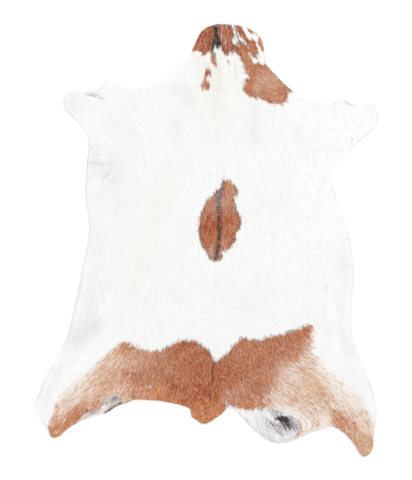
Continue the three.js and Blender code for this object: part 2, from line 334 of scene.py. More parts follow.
RUMP = table(  # rump and both thighs, past the cut edge below
    "x y fade",
    (46, 440, 3), (48, 427, 3), (55.4, 411, 4), (58.2, 402.8, 8), (70, 391.2, 13),
    (82, 384.5, 16), (95.4, 374, 16), (106, 361.6, 13), (115.4, 350.6, 8), (121.6, 342.6, 3),
    (128, 342.2, 1.4), (134, 346, 1), (143.7, 348.9, 1), (153, 350.2, 1),
    (161.6, 348.8, 1), (168, 345, 1), (177, 341.2, 1), (191.2, 339.1, 1), (202, 344.9, 1),
    (210.4, 351.5, 1), (213.4, 360.2, 1), (215.9, 360.2, 1), (223.2, 355.4, 1),
    (228, 352.2, 1), (233, 345, 1), (242, 337.8, 1), (251, 338.9, 1), (260.4, 339.8, 1),
    (270.2, 336, 1), (283, 333.2, 1), (292, 331, 1), (297.6, 328.2, 1), (304, 325.8, 1), (309.4, 323.8, 1.2),
    (312, 324.8, 2.4), (311.8, 333, 6), (307.8, 347, 11), (311.6, 361, 15), (324, 374, 18),
    (336, 384, 20), (352, 396, 17), (362, 406, 10), (366, 416, 6), (375, 428, 5), (384, 470, 4),
    (330, 470, 2), (300, 462, 2), (200, 460, 2), (60, 460, 2),
)

# Each patch with its share of dark hairs at the border, as painted shade under the white tips, and how ragged its
# border is
PATCHES = (
    (CAP, 0.3, 1.1), (BAND, 0.25, 0.9), (LOBE, 0.45, 0.9), (CHEEK, 0.3, 0.7), (FLECK, 0.1, 0.5),
    (DROP, 0.3, 0.6), (SPOT_A, 0.15, 0.7), (SPOT_B, 0.1, 0.7), (SADDLE, 0.75, 0.55), (RUMP, 0.7, 0.45),
)

# The brown hair's own tone, from place to place
BROWN_TONES = table(
    "x y reach tone",
    (196, 45, 7, "copper"), (204, 42, 5, "russet"), (203, 34, 6, "russet"), (283, 93, 5, "warm"), (208, 36, 6, "russet"), (226, 36, 8, "warm"),
    (240, 31, 6, "warm"), (247, 40, 5, "brown"), (234, 48, 4, "russet"), (241, 49, 4, "warm"), (245, 55, 6, "amber"), (253, 50, 6, "brown"),
    (250, 66, 7, "rust"), (250, 66, 7, "fawn"), (263, 83, 8, "blush"), (258, 97, 6, "fawn"),
    (274, 98, 8, "rust"), (274, 98, 8, "fawn"), (286, 92, 7, "brown"), (247, 87, 5, "rust"), (250, 93, 5, "brown"), (266, 93, 5, "brown"), (272, 74, 7, "fawn"), (252, 70, 6, "warm"), (254, 71, 4, "russet"), (252, 80, 4, "brown"), (264, 69, 5, "brown"), (272, 82, 6, "blush"),
    (208, 73, 6, "warm"), (206, 86, 6, "brown"), (213, 58, 5, "brown"),
    (230, 184, 7, "rose"), (230, 184, 7, "rust"), (231, 194, 6, "rose"), (230, 203, 8, "rose"), (231, 202, 7, "blush"), (210, 207, 7, "rose"), (209, 240, 7, "copper"),
    (208, 224, 9, "deep"), (232, 222, 9, "copper"), (213, 250, 6, "rose"),
    (228, 243, 8, "brown"),
    (58, 428, 9, "rust"), (70, 416, 7, "rust"), (77, 411.5, 4, "brown"), (84, 406, 8, "rust"),
    (96, 397, 9, "tan"), (80, 388, 10, "tan"), (68, 398, 9, "fawn"), (100, 374, 12, "tan"),
    (124, 348, 8, "rust"), (134, 377, 7, "brown"), (142, 360, 12, "fawn"),
    (118, 386, 10, "tan"), (112, 358, 8, "tan"), (130, 392, 8, "rust"), (147, 395, 9, "rust"), (163, 366, 13, "brown"),
    (178, 352, 10, "warm"), (186, 385, 13, "warm"), (197, 368, 9, "warm"),
    (200, 395, 9, "deep"), (206, 409, 9, "rust"), (226, 372, 9, "warm"),
    (248, 356, 12, "brown"), (236, 381, 8, "copper"), (243, 371, 5, "warm"), (250, 377, 6, "rose"), (280, 348, 11, "brown"),
    (298, 338, 9, "copper"), (310, 330, 7, "copper"), (230, 394, 7, "rose"), (240, 392, 6, "rose"),
    (256, 392, 7, "brown"), (270, 377, 5, "rust"), (257, 402, 7, "rust"), (264, 368, 5, "rose"), (272, 374, 5, "rose"), (240, 389, 5, "blush"), (305, 338, 6, "amber"), (262, 87, 5, "blush"), (283, 81, 5, "blush"), (259, 42, 4, "amber"), (242, 47, 3, "warm"), (257, 366, 5, "warm"), (273, 358, 5, "brown"),
    (300, 365, 9, "rust"), (292, 382, 10, "fawn"), (317, 385, 11, "sand"),
    (141, 375, 5, "warm"), (130, 375, 5, "copper"), (132, 366, 5, "blush"), (129, 385, 5, "fawn"),
    (149, 383, 4, "warm"), (161, 390, 5, "amber"), (175, 374, 5, "brown"), (191, 386, 7, "deep"),
    (215, 389, 6, "deep"), (223, 381, 6, "warm"), (240, 376, 5, "warm"), (258, 391, 4, "warm"),
    (267, 391, 4, "rose"), (237, 359, 5, "brown"), (273, 374, 4, "blush"),
    (330, 398, 11, "tan"), (338, 404, 8, "rust"), (346, 420, 9, "rust"),
    (364, 442, 12, "tan"), (355, 404, 11, "fawn"), (308, 412, 10, "fawn"), (300, 398, 9, "tan"),
)

# How much of the hair is brown there: the rest is cream
BROWN_SHARE = table(
    "x y reach share",
    (50, 420, 7, 0.7), (59, 431, 8, 0.92), (72, 417, 6, 0.97), (77, 411.5, 4, 1.0), (85, 405, 6, 0.78), (61, 411, 6, 0.46),
    (98, 397, 7, 0.76), (66, 397, 9, 0.16), (80, 392, 6, 0.3), (84, 384, 8, 0.3), (100, 373, 10, 0.67), (92, 375, 6, 0.42), (106, 388, 6, 0.8),
    (91, 392, 7, 0.56), (114, 357, 8, 0.54), (119, 363, 5, 0.6), (112, 380, 10, 0.78),
    (118, 394, 8, 0.6), (124, 349, 8, 0.92), (128, 366, 9, 0.8), (126, 375, 4, 0.98), (127, 387, 5, 0.7),
    (134, 378, 8, 1.0), (142, 392, 9, 0.9), (150, 360, 14, 0.97),
    (170, 385, 16, 1.0), (200, 380, 20, 1.0), (240, 365, 18, 1.0),
    (240, 395, 12, 1.0), (278, 350, 14, 1.0), (304, 336, 10, 1.0),
    (258, 390, 8, 1.0), (267, 392, 5, 0.9), (267, 376, 8, 1.0), (274, 384, 4, 0.9), (274, 357, 7, 1.0), (288, 356, 6, 0.9), (283, 366, 6, 0.66),
    (300, 350, 7, 0.86), (308, 360, 8, 0.4), (288, 380, 8, 0.4), (297, 389, 5, 0.62), (296, 357, 5, 0.86), (282, 384, 5, 0.5), (296, 369, 8, 0.34),
    (275, 395, 6, 0.4), (300, 398, 9, 0.52), (311, 379, 7, 0.74), (319, 389, 7, 0.84), (325, 399.6, 4.5, 0.72),
    (337, 414, 4.5, 0.9), (321, 407, 5, 0.4), (316, 419, 5, 0.05), (327, 420, 5, 0.0), (328.6, 411, 3.5, 0.36), (332, 400, 4.5, 0.4), (339, 398, 5, 0.0), (327, 378, 5, 0.1), (322, 366, 9, 0.16), (312, 412, 8, 0.36),
    (340, 380, 9, 0.08), (354, 397, 9, 0.1), (336, 385, 6, 0.0), (349, 394, 7, 0.0), (338, 419, 6, 0.88), (345, 408, 6, 0.1), (338, 404, 5, 0.28), (354, 418, 4.5, 0.4),
    (350, 428, 7, 0.8), (366, 446, 9, 0.86), (366, 420, 6, 0.3), (372, 430, 5, 0.3),
    (300, 424, 8, 0.1), (280, 404, 7, 0.15), (268, 402, 5, 0.4),
    (262, 404, 7, 0.9),
)

# Small marks on top: an ellipse each, of one tone, with the share of hair it takes
MARKS = table(
    "x y along across turn tone share",
    (222.2, 29, 5, 1.8, 88, "blush", 0.6),  # pale locks in the cap
    (225.4, 43.5, 2.6, 0.7, 70, "pale", 0.45),
    (217.9, 42.8, 5.2, 3.5, 88, "black", 1.0),  # blob at the end of the eel stripe
    (111, 400, 9, 4.4, 22, "grey", 0.72),  # left udder
    (104.4, 405, 6, 3.2, 50, "violet", 0.45),
    (114.8, 399, 5.4, 2.8, 28, "violet", 0.85),
    (93, 412.8, 4.6, 2.0, 10, "violet", 0.9),
    (86, 411.2, 3.6, 1.7, 45, "slate", 0.8),
    (83.4, 413.4, 2.2, 1.4, 30, "umber", 0.4),
    (229, 62.8, 1.3, 1.3, 0, "violet", 0.9),  # fleck under the neck
    (150.4, 386.6, 3.0, 1.7, 45, "grey", 0.9),  # scar
    (288.6, 423.4, 7.5, 4.2, -50, "violet", 0.5),
    (280, 415.6, 9, 2.6, -4, "violet", 0.5),
    (290.4, 417.6, 4.6, 2.0, -18, "violet", 0.75),
    (277.2, 411.2, 5.6, 1.6, -6, "violet", 0.6),
    (261.4, 409, 3.8, 1.9, 20, "violet", 0.75),
    (282.8, 418.8, 7.8, 3.2, -14, "black", 1.0),  # right udder's spot
    (276.4, 419.6, 2.6, 1.8, 25, "black", 0.85),
    (287.2, 423, 5.6, 2.0, -50, "black", 0.85),
    (293, 426.2, 4.4, 2.2, -62, "violet", 0.8),
)

LEFT_UDDER_MARK = 3  # the row of the left udder's grey

# White hair that lies over a patch
WHITES = (
    table(  # udder flap
        "x y fade",
        (226, 403, 1.5), (231, 406.8, 2), (238, 408.6, 2), (246, 411.4, 2), (254, 411, 2.5),
        (261, 407, 4), (272, 410.6, 7), (286, 411, 10), (298, 411, 14),
        (303, 420, 20), (300, 434, 20), (292, 446, 10), (250, 450, 2), (226, 420, 2),
    ),
    table(  # strip below the left thigh
        "x y fade",
        (76, 424, 2), (83, 416, 2), (90, 411.5, 3), (97, 410.5, 4), (104, 405, 4),
        (109, 402, 3), (110, 406, 3), (104, 414, 2), (98, 420, 2), (84, 428, 2),
    ),
)

# Lines of dark hair, and of painted shade in folds, grooves and partings: half width in pixels and the share of hair
# they take
EEL_UPPER = table(  # along the back
    "x y half share",
    (223, 182, 0.8, 0.5), (220.8, 190, 1.7, 0.9), (218.6, 200, 2.2, 0.9),
    (218.6, 210, 2.0, 0.8), (219, 216, 1.8, 0.6),
)
EEL_MIDDLE = table("x y half share", (219, 210, 1.6, 0.5), (219.4, 221, 1.8, 0.9), (219.4, 232, 1.7, 0.85), (219.2, 238, 1.6, 0.6))
EEL_LOWER = table(
    "x y half share",
    (219.2, 234, 1.6, 0.6), (218.6, 243, 1.9, 0.9), (217.2, 251, 2.0, 0.9),
    (215.6, 257, 1.8, 0.8), (214.6, 259.6, 1.4, 0.6),
)
NECK_STRIPE = table(
    "x y half share",
    (215.8, 20, 2.5, 1.0), (215.8, 28, 2.2, 1.0), (215.9, 34, 1.5, 0.9), (216.8, 37.6, 2.4, 0.95),
    (217.8, 41, 3.3, 1.0), (218, 44.6, 2.9, 1.0), (218, 47.6, 1.8, 0.9),
)
NECK_TAIL = table("x y half share", (214.4, 40.4, 0.8, 0.7), (213, 43, 1.3, 0.95), (212.4, 47, 1.2, 0.95), (212, 50.5, 0.8, 0.7))
CAP_TOP = table("x y half share", (212.6, 26.6, 0.7, 0.6), (217, 26, 0.8, 0.7), (223, 26.2, 0.8, 0.7), (231, 27, 0.7, 0.6))
PALE_LOCK_A = table("x y half share", (221.5, 34, 0.5, 0.5), (221, 38.4, 0.6, 0.6))
PALE_LOCK_B = table("x y half share", (226.4, 41.4, 0.6, 0.6), (225.2, 46, 0.6, 0.6))
NECK_EDGE = table("x y half share", (221.6, 47.5, 0.6, 0.6), (223.8, 51, 0.7, 0.8), (225.8, 53.2, 0.6, 0.7))
NECK_DOT = table("x y half share", (228.9, 61.8, 1.0, 0.9), (229.1, 63.6, 0.9, 0.8))
# The dark line in the parting above the tail: painted shade in its crease
TAIL_PARTING_SHADE = table(
    "x y half share",
    (214, 363, 0.9, 0.8), (212, 370, 1.0, 0.85), (213.2, 377, 0.9, 0.8), (212.2, 384, 0.6, 0.6),
    (210.6, 393, 0.5, 0.45), (209.4, 402, 0.5, 0.3),
)
SPOT_CORE = table("x y half share", (275.4, 419.8, 1.0, 0.8), (279, 418.4, 1.4, 0.95), (284, 418.4, 1.9, 1.0), (288.8, 420.6, 1.5, 1.0))
SPOT_UPPER = table("x y half share", (281.4, 417.4, 1.0, 1.0), (285, 421.8, 1.1, 1.0), (287.8, 425.4, 0.9, 0.95), (290.2, 429.8, 0.6, 0.8))
SPOT_LOWER = table("x y half share", (279.6, 420.2, 0.7, 0.9), (283.4, 425, 0.8, 0.8), (286, 430.4, 0.7, 0.6))
SPOT_SIDE = table("x y half share", (288, 419.8, 1.0, 0.9), (291.4, 423.6, 1.1, 0.8), (293.4, 428, 0.8, 0.6))
FLAP_LINE = table("x y half share", (270.6, 421.4, 0.8, 0.9), (272.6, 424.6, 0.8, 0.9), (275.2, 428.2, 0.8, 0.8), (278.6, 432.4, 0.8, 0.6), (282, 436.4, 0.8, 0.4))
FLAP_TOP = table("x y half share", (268, 411.4, 1.0, 0.4), (276.9, 410.8, 1.3, 0.6), (284, 412.2, 0.8, 0.4))
FLAP_CORNER = table("x y half share", (260, 409.8, 0.9, 0.8), (263.4, 408, 0.9, 0.7))
FLAP_EDGE = table("x y half share", (237, 412.4, 0.4, 0.4), (243, 417, 0.5, 0.6), (249, 422, 0.4, 0.5))
FLAP_RUST = table("x y half share", (308, 424.6, 0.7, 0.5), (305, 430, 0.9, 0.7), (298.6, 433.4, 0.9, 0.8), (295, 436.6, 0.7, 0.5))
NOTCH = table("x y half share", (226.6, 408, 0.7, 0.7), (229.2, 402.6, 0.6, 0.5))
LEFT_UDDER = table("x y half share", (104.4, 413, 0.9, 0.9), (108.6, 410.4, 1.1, 0.9), (113, 407, 1.0, 0.85), (120, 403, 0.7, 0.7), (127, 402, 0.6, 0.5))
LEFT_UDDER_LIGHT = table("x y half share", (101, 412.6, 0.7, 0.8), (105.4, 408, 0.8, 0.9), (110, 403, 0.7, 0.8))
LEFT_UDDER_RUST = table("x y half share", (92, 409.4, 0.8, 0.6), (95.6, 406.4, 0.8, 0.7), (99, 401, 0.8, 0.7))
LEFT_UDDER_THIN = table("x y half share", (98.4, 409.6, 0.6, 0.6), (101, 405, 0.6, 0.65), (103.6, 399.6, 0.6, 0.6))
LEFT_HOCK = table("x y half share", (128, 396, 0.5, 0.5), (132, 395.8, 0.6, 0.5), (136, 398, 0.5, 0.4))
# Pale grey lines in the grooves of the neck: painted shade
NECK_GROOVE_SHADE_A = table("x y half share", (229, 60, 0.6, 0.5), (228.4, 74, 0.6, 0.6), (227, 90, 0.6, 0.55), (226, 104, 0.6, 0.3))
NECK_GROOVE_SHADE_B = table("x y half share", (220, 52, 0.7, 0.4), (219, 74, 0.7, 0.5), (217.4, 100, 0.7, 0.3))
NECK_GROOVE_SHADE_C = table("x y half share", (234, 58, 0.7, 0.4), (236, 78, 0.7, 0.5), (238, 96, 0.7, 0.3))
# Grey lines in the puckers of the forelegs, the creases at the left elbow and the folds of the flanks: painted shade
LEFT_PUCKER_SHADE = table("x y half share", (85.6, 93.6, 1.0, 0.4), (92, 95.4, 1.3, 0.8), (98, 95.8, 1.2, 0.75), (103.6, 98.6, 1.0, 0.6))
RIGHT_PUCKER_SHADE = table("x y half share", (342, 99.6, 0.7, 0.3), (348, 103.4, 1.1, 0.5), (352, 104.8, 1.1, 0.55), (359, 105.6, 0.8, 0.3))
ELBOW_SHADE_A = table("x y half share", (87, 163.8, 1.0, 0.5), (91.6, 162, 1.0, 0.5), (98, 163.4, 1.6, 0.2), (112, 165.6, 1.8, 0.15))
ELBOW_SHADE_B = table("x y half share", (104.6, 177.4, 1.0, 0.4), (107.6, 174.8, 1.4, 0.45), (109.6, 172, 1.0, 0.4))
ELBOW_SHADE_C = table("x y half share", (89, 146, 1.4, 0.2), (96, 151, 1.4, 0.25), (99, 157, 1.2, 0.15))
ELBOW_SHADE_D = table("x y half share", (98, 184, 1.0, 0.1), (106, 186, 1.2, 0.2), (113, 181, 1.2, 0.2), (120, 173, 1.0, 0.12))
LEFT_FOLD_SHADE = table(
    "x y half share",
    (95, 272.4, 1.4, 0.2), (98.4, 278, 1.0, 0.12), (100.4, 284, 1.3, 0.3), (103.4, 293, 1.0, 0.3),
    (104.4, 300, 1.1, 0.34), (104.8, 308, 1.0, 0.2), (103.6, 315, 1.2, 0.26), (99, 321, 1.6, 0.2), (94, 323, 1.6, 0.1),
)
RIGHT_FOLD_SHADE = table("x y half share", (326, 278, 1.0, 0.08), (326, 288, 1.2, 0.18), (323, 306, 1.2, 0.13), (325, 326, 1.4, 0.1), (333, 345, 1.4, 0.08))
SPINE = table("x y half share", (216, 262, 0.7, 0.22), (215.4, 276, 0.7, 0.26), (213.6, 290, 0.7, 0.2), (214, 330, 0.7, 0.14))
WEDGE_STRAND = table("x y half share", (235.2, 29, 0.4, 0.5), (236.5, 34, 0.5, 0.8), (238.2, 38, 0.5, 0.9), (240.4, 41.4, 0.5, 0.8), (243.6, 43.8, 0.5, 0.6))
WEDGE_FOOT = table("x y half share", (232, 44.4, 0.6, 0.6), (234.6, 46, 0.7, 0.7), (237.6, 45, 0.6, 0.6))
CHEEK_EDGE = table("x y half share", (252.4, 31.6, 0.4, 0.6), (255.6, 33.6, 0.5, 0.7), (258.2, 36.2, 0.5, 0.6))
LINES = (  # each with the tones of its hairs, and how many single ones lie on top to a pixel
    (SPOT_CORE, ("black",), 6), (SPOT_UPPER, ("black",), 6), (SPOT_LOWER, ("slate", "black"), 3.4),
    (SPOT_SIDE, ("violet", "slate", "violet", "black"), 3.4),
    (FLAP_LINE, ("slate", "violet", "grey"), 1.3),
    (FLAP_TOP, ("grey", "violet"), 0.5), (FLAP_CORNER, ("slate", "grey"), 2), (FLAP_EDGE, ("umber", "grey"), 0.8),
    (NOTCH, ("violet", "umber"), 2), (FLAP_RUST, ("fawn", "amber", "blush"), 1.0),
    (LEFT_UDDER, ("slate", "violet", "slate"), 1.4), (LEFT_UDDER_LIGHT, ("pale",), 2), (LEFT_UDDER_RUST, ("rust",), 1.4),
    (LEFT_UDDER_THIN, ("fawn",), 1.5), (LEFT_HOCK, ("slate", "umber"), 1),
    (NECK_GROOVE_SHADE_A, ("stone",), 0), (NECK_GROOVE_SHADE_B, ("stone",), 0), (NECK_GROOVE_SHADE_C, ("stone",), 0),
    (LEFT_PUCKER_SHADE, ("grey",), 0), (RIGHT_PUCKER_SHADE, ("grey",), 0),
    (ELBOW_SHADE_A, ("grey",), 0), (ELBOW_SHADE_B, ("grey",), 0), (ELBOW_SHADE_C, ("grey",), 0), (ELBOW_SHADE_D, ("grey",), 0),
    (LEFT_FOLD_SHADE, ("grey",), 0), (RIGHT_FOLD_SHADE, ("grey",), 0), (SPINE, ("ash",), 0),
    (EEL_UPPER, ("slate", "umber", "slate", "violet", "violet"), 2.6),
    (EEL_MIDDLE, ("umber", "black", "russet", "black"), 2.6),
    (EEL_LOWER, ("black", "umber", "slate", "russet", "black"), 2.6),
    (NECK_STRIPE, ("black",), 3.2), (NECK_TAIL, ("black",), 1.4),
    (CAP_TOP, ("umber", "grey", "slate"), 1.1),
    (PALE_LOCK_A, ("ash", "grey"), 0.8), (PALE_LOCK_B, ("ash", "grey"), 1.2),
    (NECK_EDGE, ("umber", "slate"), 1),
    (NECK_DOT, ("violet", "grey"), 0.9),
    (TAIL_PARTING_SHADE, ("umber", "black"), 1),
    (WEDGE_STRAND, ("umber", "russet"), 1.5), (WEDGE_FOOT, ("umber", "slate", "russet"), 0.9),
    (CHEEK_EDGE, ("grey", "violet", "blush"), 2.2),
)

# Strands of the udder flap, fanned out round its spot. Each row is one arc through three
# places, and strands lie all the way from one row to the next.
FAN = table(
    "x0 y0 x1 y1 x2 y2 light dark share",
    (253, 411, 254.5, 419, 257, 428, "white", "ash", 0.2),
    (258, 412, 259, 422, 262, 435.5, "white", "grey", 0.22),
    (262, 413, 263.4, 426, 268, 440, "grey_white", "grey", 0.4),
    (266, 415, 267.8, 428, 273, 441, "grey_white", "grey", 0.5),
    (270.6, 421, 275.8, 428.6, 282, 439, "grey_white", "violet", 0.4),
    (275, 421.6, 279.5, 429, 286.6, 439.6, "grey_white", "violet", 0.4),
    (279, 421, 283.4, 427.4, 291, 438, "ash", "violet", 0.45),
    (283, 418, 287, 424, 294.6, 436.4, "ash", "violet", 0.55),
    (287.6, 419, 292, 424.8, 296.4, 435, "ash", "violet", 0.62),
    (292, 418, 298, 426, 296.6, 434.8, "ash", "violet", 0.55),
    (296, 416.6, 302.8, 425.4, 299, 433.6, "pale", "blush", 0.35),
    (300, 414.4, 308.4, 424.6, 303.4, 432.2, "pale", "blush", 0.35),
    (304.6, 413, 312, 423.6, 308, 430.8, "pale", "fawn", 0.3),
)
FAN_STRANDS = 44  # from one row to the next
FAN_LOCKS = 5  # and how many locks they lie in, each of one tone

# ---- light, and how deep fur answers to it -------------------------------------
LIT = 1.26  # radiance of a perfect white card on the floor
SINGLE = 0.715  # share of the light that a blade's own colour sends back once
FLATTER = 0.055  # what white hair sends back on top of that
AGAIN = 0.067  # and how much of it meets other blades first


def linear(rgb):
    c = np.asarray(rgb, float) / 255
    return np.where(c <= 0.04045, c / 12.92, ((c + 0.055) / 1.055) ** 2.4)


def albedo(rgb):
    """The colour of a blade, so that a coat of them looks like rgb in this light."""
    r = linear(rgb) / LIT
    flat = np.clip((r.mean() - 0.45) / 0.25, 0, 1)  # white hair lies flatter and sends more back
    return np.clip(r / (SINGLE + FLATTER * flat + AGAIN * r), 0.0, 0.985)


TONE = {name: albedo(rgb) for name, rgb in COAT.items()}
SHEEN_TINT = np.array((0.68, 0.46, 0.36))  # painted sheen: pale, pinkish highlights among the brown
SHEEN_SHARE = 0.135  # how much of it there is


# ---- small tools -----------------------------------------------------------------
def on_hide(px, py):
    """Photograph pixels to metres on the hide."""
    x = (px - PHOTO_MIDDLE[0]) * PIXEL - SHIFT[0]
    y = (PHOTO_MIDDLE[1] - py) * PIXEL - SHIFT[1]
    return x, y


def on_photo(x, y):
    """Metres on the hide to photograph pixels."""
    px = (x + SHIFT[0]) / PIXEL + PHOTO_MIDDLE[0]
    py = PHOTO_MIDDLE[1] - (y + SHIFT[1]) / PIXEL
    return px, py


def soft(t):
    """1 in the middle, 0 and level from t = 1 outwards."""
    return np.where(t < 1, (1 - np.minimum(t, 1) ** 2) ** 2, 0.0)


def step(t):
    t = np.clip(t, 0, 1)
    return t * t * (3 - 2 * t)


LATTICE = np.random.default_rng(SEED).uniform(-1, 1, (128, 128))


def rough(x, y, layer=0):
    """Smooth unevenness from -1 to 1 with a period of about 1."""
    x, y = x + 17.3 * layer, y + 41.7 * layer
    i, j = np.floor(x).astype(int), np.floor(y).astype(int)
    u, v = step(x - i), step(y - j)
    a = LATTICE[i % 128, j % 128] * (1 - u) + LATTICE[(i + 1) % 128, j % 128] * u
    b = LATTICE[i % 128, (j + 1) % 128] * (1 - u) + LATTICE[(i + 1) % 128, (j + 1) % 128] * u
    return a * (1 - v) + b * v


def to_segments(x, y, a, b):
    """Squared distance from each point to its nearest segment, which one, and how far along it."""
    best = np.full(x.shape, np.inf)
    which, along = np.zeros(x.shape, int), np.zeros(x.shape)
    for k in range(len(a)):
        dx, dy = b[k] - a[k]
        t = np.clip(((x - a[k, 0]) * dx + (y - a[k, 1]) * dy) / (dx * dx + dy * dy), 0, 1)
        d = (x - a[k, 0] - t * dx) ** 2 + (y - a[k, 1] - t * dy) ** 2
        near = d < best
        best = np.where(near, d, best)
        which = np.where(near, k, which)
        along = np.where(near, t, along)
    return best, which, along


def within(x, y, ring):
    """True where a point lies inside a closed ring."""
    odd = np.zeros(x.shape, bool)
    for (ax, ay), (bx, by) in zip(ring, np.roll(ring, -1, 0)):
        if ay != by:
            odd ^= ((ay > y) != (by > y)) & (x < ax + (y - ay) / (by - ay) * (bx - ax))
    return odd


# ---- the sheet's shape -------------------------------------------------------------
def lift(x, y):
    """Height of the underside above the floor."""
    mx, my = (x + SHIFT[0]) * 1000, (y + SHIFT[1]) * 1000
    z = np.zeros(np.shape(x))
    s = SWELLS
    for k in range(len(s["x"])):
        c, n = math.cos(math.radians(s["turn"][k])), math.sin(math.radians(s["turn"][k]))
        dx, dy = mx - s["x"][k], my - s["y"][k]
        u, v = (dx * c + dy * n) / s["along"][k], (dy * c - dx * n) / s["across"][k]
        z = np.maximum(z, s["rise"][k] * soft(np.hypot(u, v)))
    return z / 1000


def parted(x, y):
    """How much the hair is parted there."""
    mx, my = (x + SHIFT[0]) * 1000, (y + SHIFT[1]) * 1000
    z = np.zeros(np.shape(x))
    t = TROUGHS
    for k in range(len(t["x0"])):
        a = np.array([[t["x0"][k], t["y0"][k]]])
        b = np.array([[t["x1"][k], t["y1"][k]]])
        d = np.sqrt(to_segments(mx, my, a, b)[0])
        z = np.maximum(z, t["deep"][k] * soft(d / t["half"][k]))
    return z / 1000


def pile(x, y, inset):
    """Depth of the lying hair at a distance in from the cut edge."""
    rim = np.clip(inset / RIM_ROUND, 0, 1)
    depth = BELLY_PILE + (PILE - BELLY_PILE) * step(inset / BELLY_BAND)
    return RIM_PILE + (depth - RIM_PILE) * rim - parted(x, y) * rim


def cut_edge(node):
    """The solid's outline seen from above, anticlockwise."""
    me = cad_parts[node].data
    co = np.empty(len(me.vertices) * 3)
    me.vertices.foreach_get("co", co)
    co = co.reshape(-1, 3)
    me.calc_loop_triangles()
    tri = np.empty(len(me.loop_triangles) * 3, int)
    me.loop_triangles.foreach_get("vertices", tri)
    tri = tri.reshape(-1, 3)
    a, b, c = co[tri[:, 0]], co[tri[:, 1]], co[tri[:, 2]]
    n = np.cross(b - a, c - a)
    top = n[:, 2] > 0.5 * np.linalg.norm(n, axis=1)
    key = np.round(co[:, :2] * 1e6).astype(np.int64)
    _, first, same = np.unique(key, axis=0, return_index=True, return_inverse=True)
    same = same.ravel()
    t = same[tri[top]]
    edges = np.concatenate([t[:, [0, 1]], t[:, [1, 2]], t[:, [2, 0]]])
    pairs = {(int(u), int(v)) for u, v in edges}
    after = {u: v for u, v in pairs if (v, u) not in pairs}
    start = at = min(after)
    ring = []
    while True:
        ring.append(co[first[at], :2])
        at = after[at]
        if at == start:
            break
    return np.array(ring)


def even(ring, gap):
    """A closed smooth curve through a ring's points, in equal steps of about gap."""
    p0, p1, p2, p3 = (np.roll(ring, k, 0) for k in (1, 0, -1, -2))
    t = np.linspace(0, 1, 16, endpoint=False)[:, None, None]
    fine = 0.5 * (
        2 * p1 + (p2 - p0) * t + (2 * p0 - 5 * p1 + 4 * p2 - p3) * t**2
        + (3 * p1 - p0 - 3 * p2 + p3) * t**3
    )
    fine = fine.transpose(1, 0, 2).reshape(-1, 2)
    closed = np.vstack([fine, fine[:1]])
    far = np.concatenate([[0], np.cumsum(np.hypot(*np.diff(closed, axis=0).T))])
    at = np.linspace(0, far[-1], max(8, round(far[-1] / gap)), endpoint=False)
    return np.stack([np.interp(at, far, closed[:, i]) for i in (0, 1)], 1)


RIM = even(cut_edge("hide"), 0.003)
GRID = 0.003
X0, Y0 = RIM.min(0) - 0.03
NX, NY = (np.ceil((RIM.max(0) + 0.03 - (X0, Y0)) / GRID) + 1).astype(int)


def inset_grid():
    """Distance in from the cut edge on a grid, negative outside."""
    x, y = np.meshgrid(X0 + GRID * np.arange(NX), Y0 + GRID * np.arange(NY), indexing="ij")
    ring = RIM[::2]
    d = np.sqrt(to_segments(x, y, ring, np.roll(ring, -1, 0))[0])
    return np.where(within(x, y, ring), d, -d)


INSET = inset_grid()


def inset_at(x, y):
    u, v = (x - X0) / GRID, (y - Y0) / GRID
    i = np.clip(np.floor(u).astype(int), 0, NX - 2)
    j = np.clip(np.floor(v).astype(int), 0, NY - 2)
    u, v = np.clip(u - i, 0, 1), np.clip(v - j, 0, 1)
    a = INSET[i, j] * (1 - u) + INSET[i + 1, j] * u
    b = INSET[i, j + 1] * (1 - u) + INSET[i + 1, j + 1] * u
    return a * (1 - v) + b * v


def trimmed(px, py):
    """How much further in the hide is cut there, in metres."""
    by = np.zeros(px.shape)
    for k in range(len(TRIMS["x"])):
        far = (px - TRIMS["x"][k]) ** 2 + (py - TRIMS["y"][k]) ** 2
        by = by + TRIMS["by"][k] * 0.001 * np.exp(-far / TRIMS["reach"][k] ** 2)
    return by


# ---- the coat -----------------------------------------------------------------------
def heading(px, py):
    """Unit vector along which the hair lies."""
    vx, vy = np.zeros(px.shape), np.full(px.shape, -1e-4)
    for k in range(len(FLOW["x"])):
        w = np.exp(-((px - FLOW["x"][k]) ** 2 + (py - FLOW["y"][k]) ** 2) / (1.3 * FLOW["reach"][k]) ** 2)
        a = math.radians(FLOW["heading"][k])
        vx, vy = vx + w * math.cos(a), vy + w * math.sin(a)
    long = np.hypot(vx, vy)
    return vx / long, vy / long


def blended(px, py, rows, column):
    """A column of a table of places, smoothed between them."""
    total, value = 0.0, 0.0
    for k in range(len(rows["x"])):
        w = np.exp(-((px - rows["x"][k]) ** 2 + (py - rows["y"][k]) ** 2) / rows["reach"][k] ** 2)
        w = w + 1e-6 / (1 + (px - rows["x"][k]) ** 2 + (py - rows["y"][k]) ** 2)
        v = rows[column][k]
        if column == "tone":
            v, w = TONE[v], w[:, None]
        total, value = total + w, value + w * v
    return value / total


def ellipse(px, py, rows, k, crisp=1):
    """1 in the middle of a row's ellipse, falling to 0 past its edge."""
    a = math.radians(rows["turn"][k])
    dx, dy = px - rows["x"][k], -(py - rows["y"][k])
    u = (dx * math.cos(a) + dy * math.sin(a)) / rows["along"][k]
    v = (dy * math.cos(a) - dx * math.sin(a)) / rows["across"][k]
    return np.exp(-((u * u + v * v) ** crisp) * 0.9)


def patch_depth(px, py, rows):
    """How far inside a patch each point is, in pixels, and how gradual the nearest border is."""
    ring = np.stack([rows["x"], rows["y"]], 1)
    depth, fade = np.full(px.shape, -99.0), np.ones(px.shape)
    lo, hi = ring.min(0) - 22, ring.max(0) + 22
    near = np.flatnonzero((px > lo[0]) & (px < hi[0]) & (py > lo[1]) & (py < hi[1]))
    if len(near):
        x, y = px[near], py[near]
        nxt = np.roll(ring, -1, 0)
        d2, k, t = to_segments(x, y, ring, nxt)
        d = np.sqrt(d2)
        depth[near] = np.where(within(x, y, ring), d, -d)
        fade[near] = rows["fade"][k] * (1 - t) + np.roll(rows["fade"], -1)[k] * t
    return depth, fade


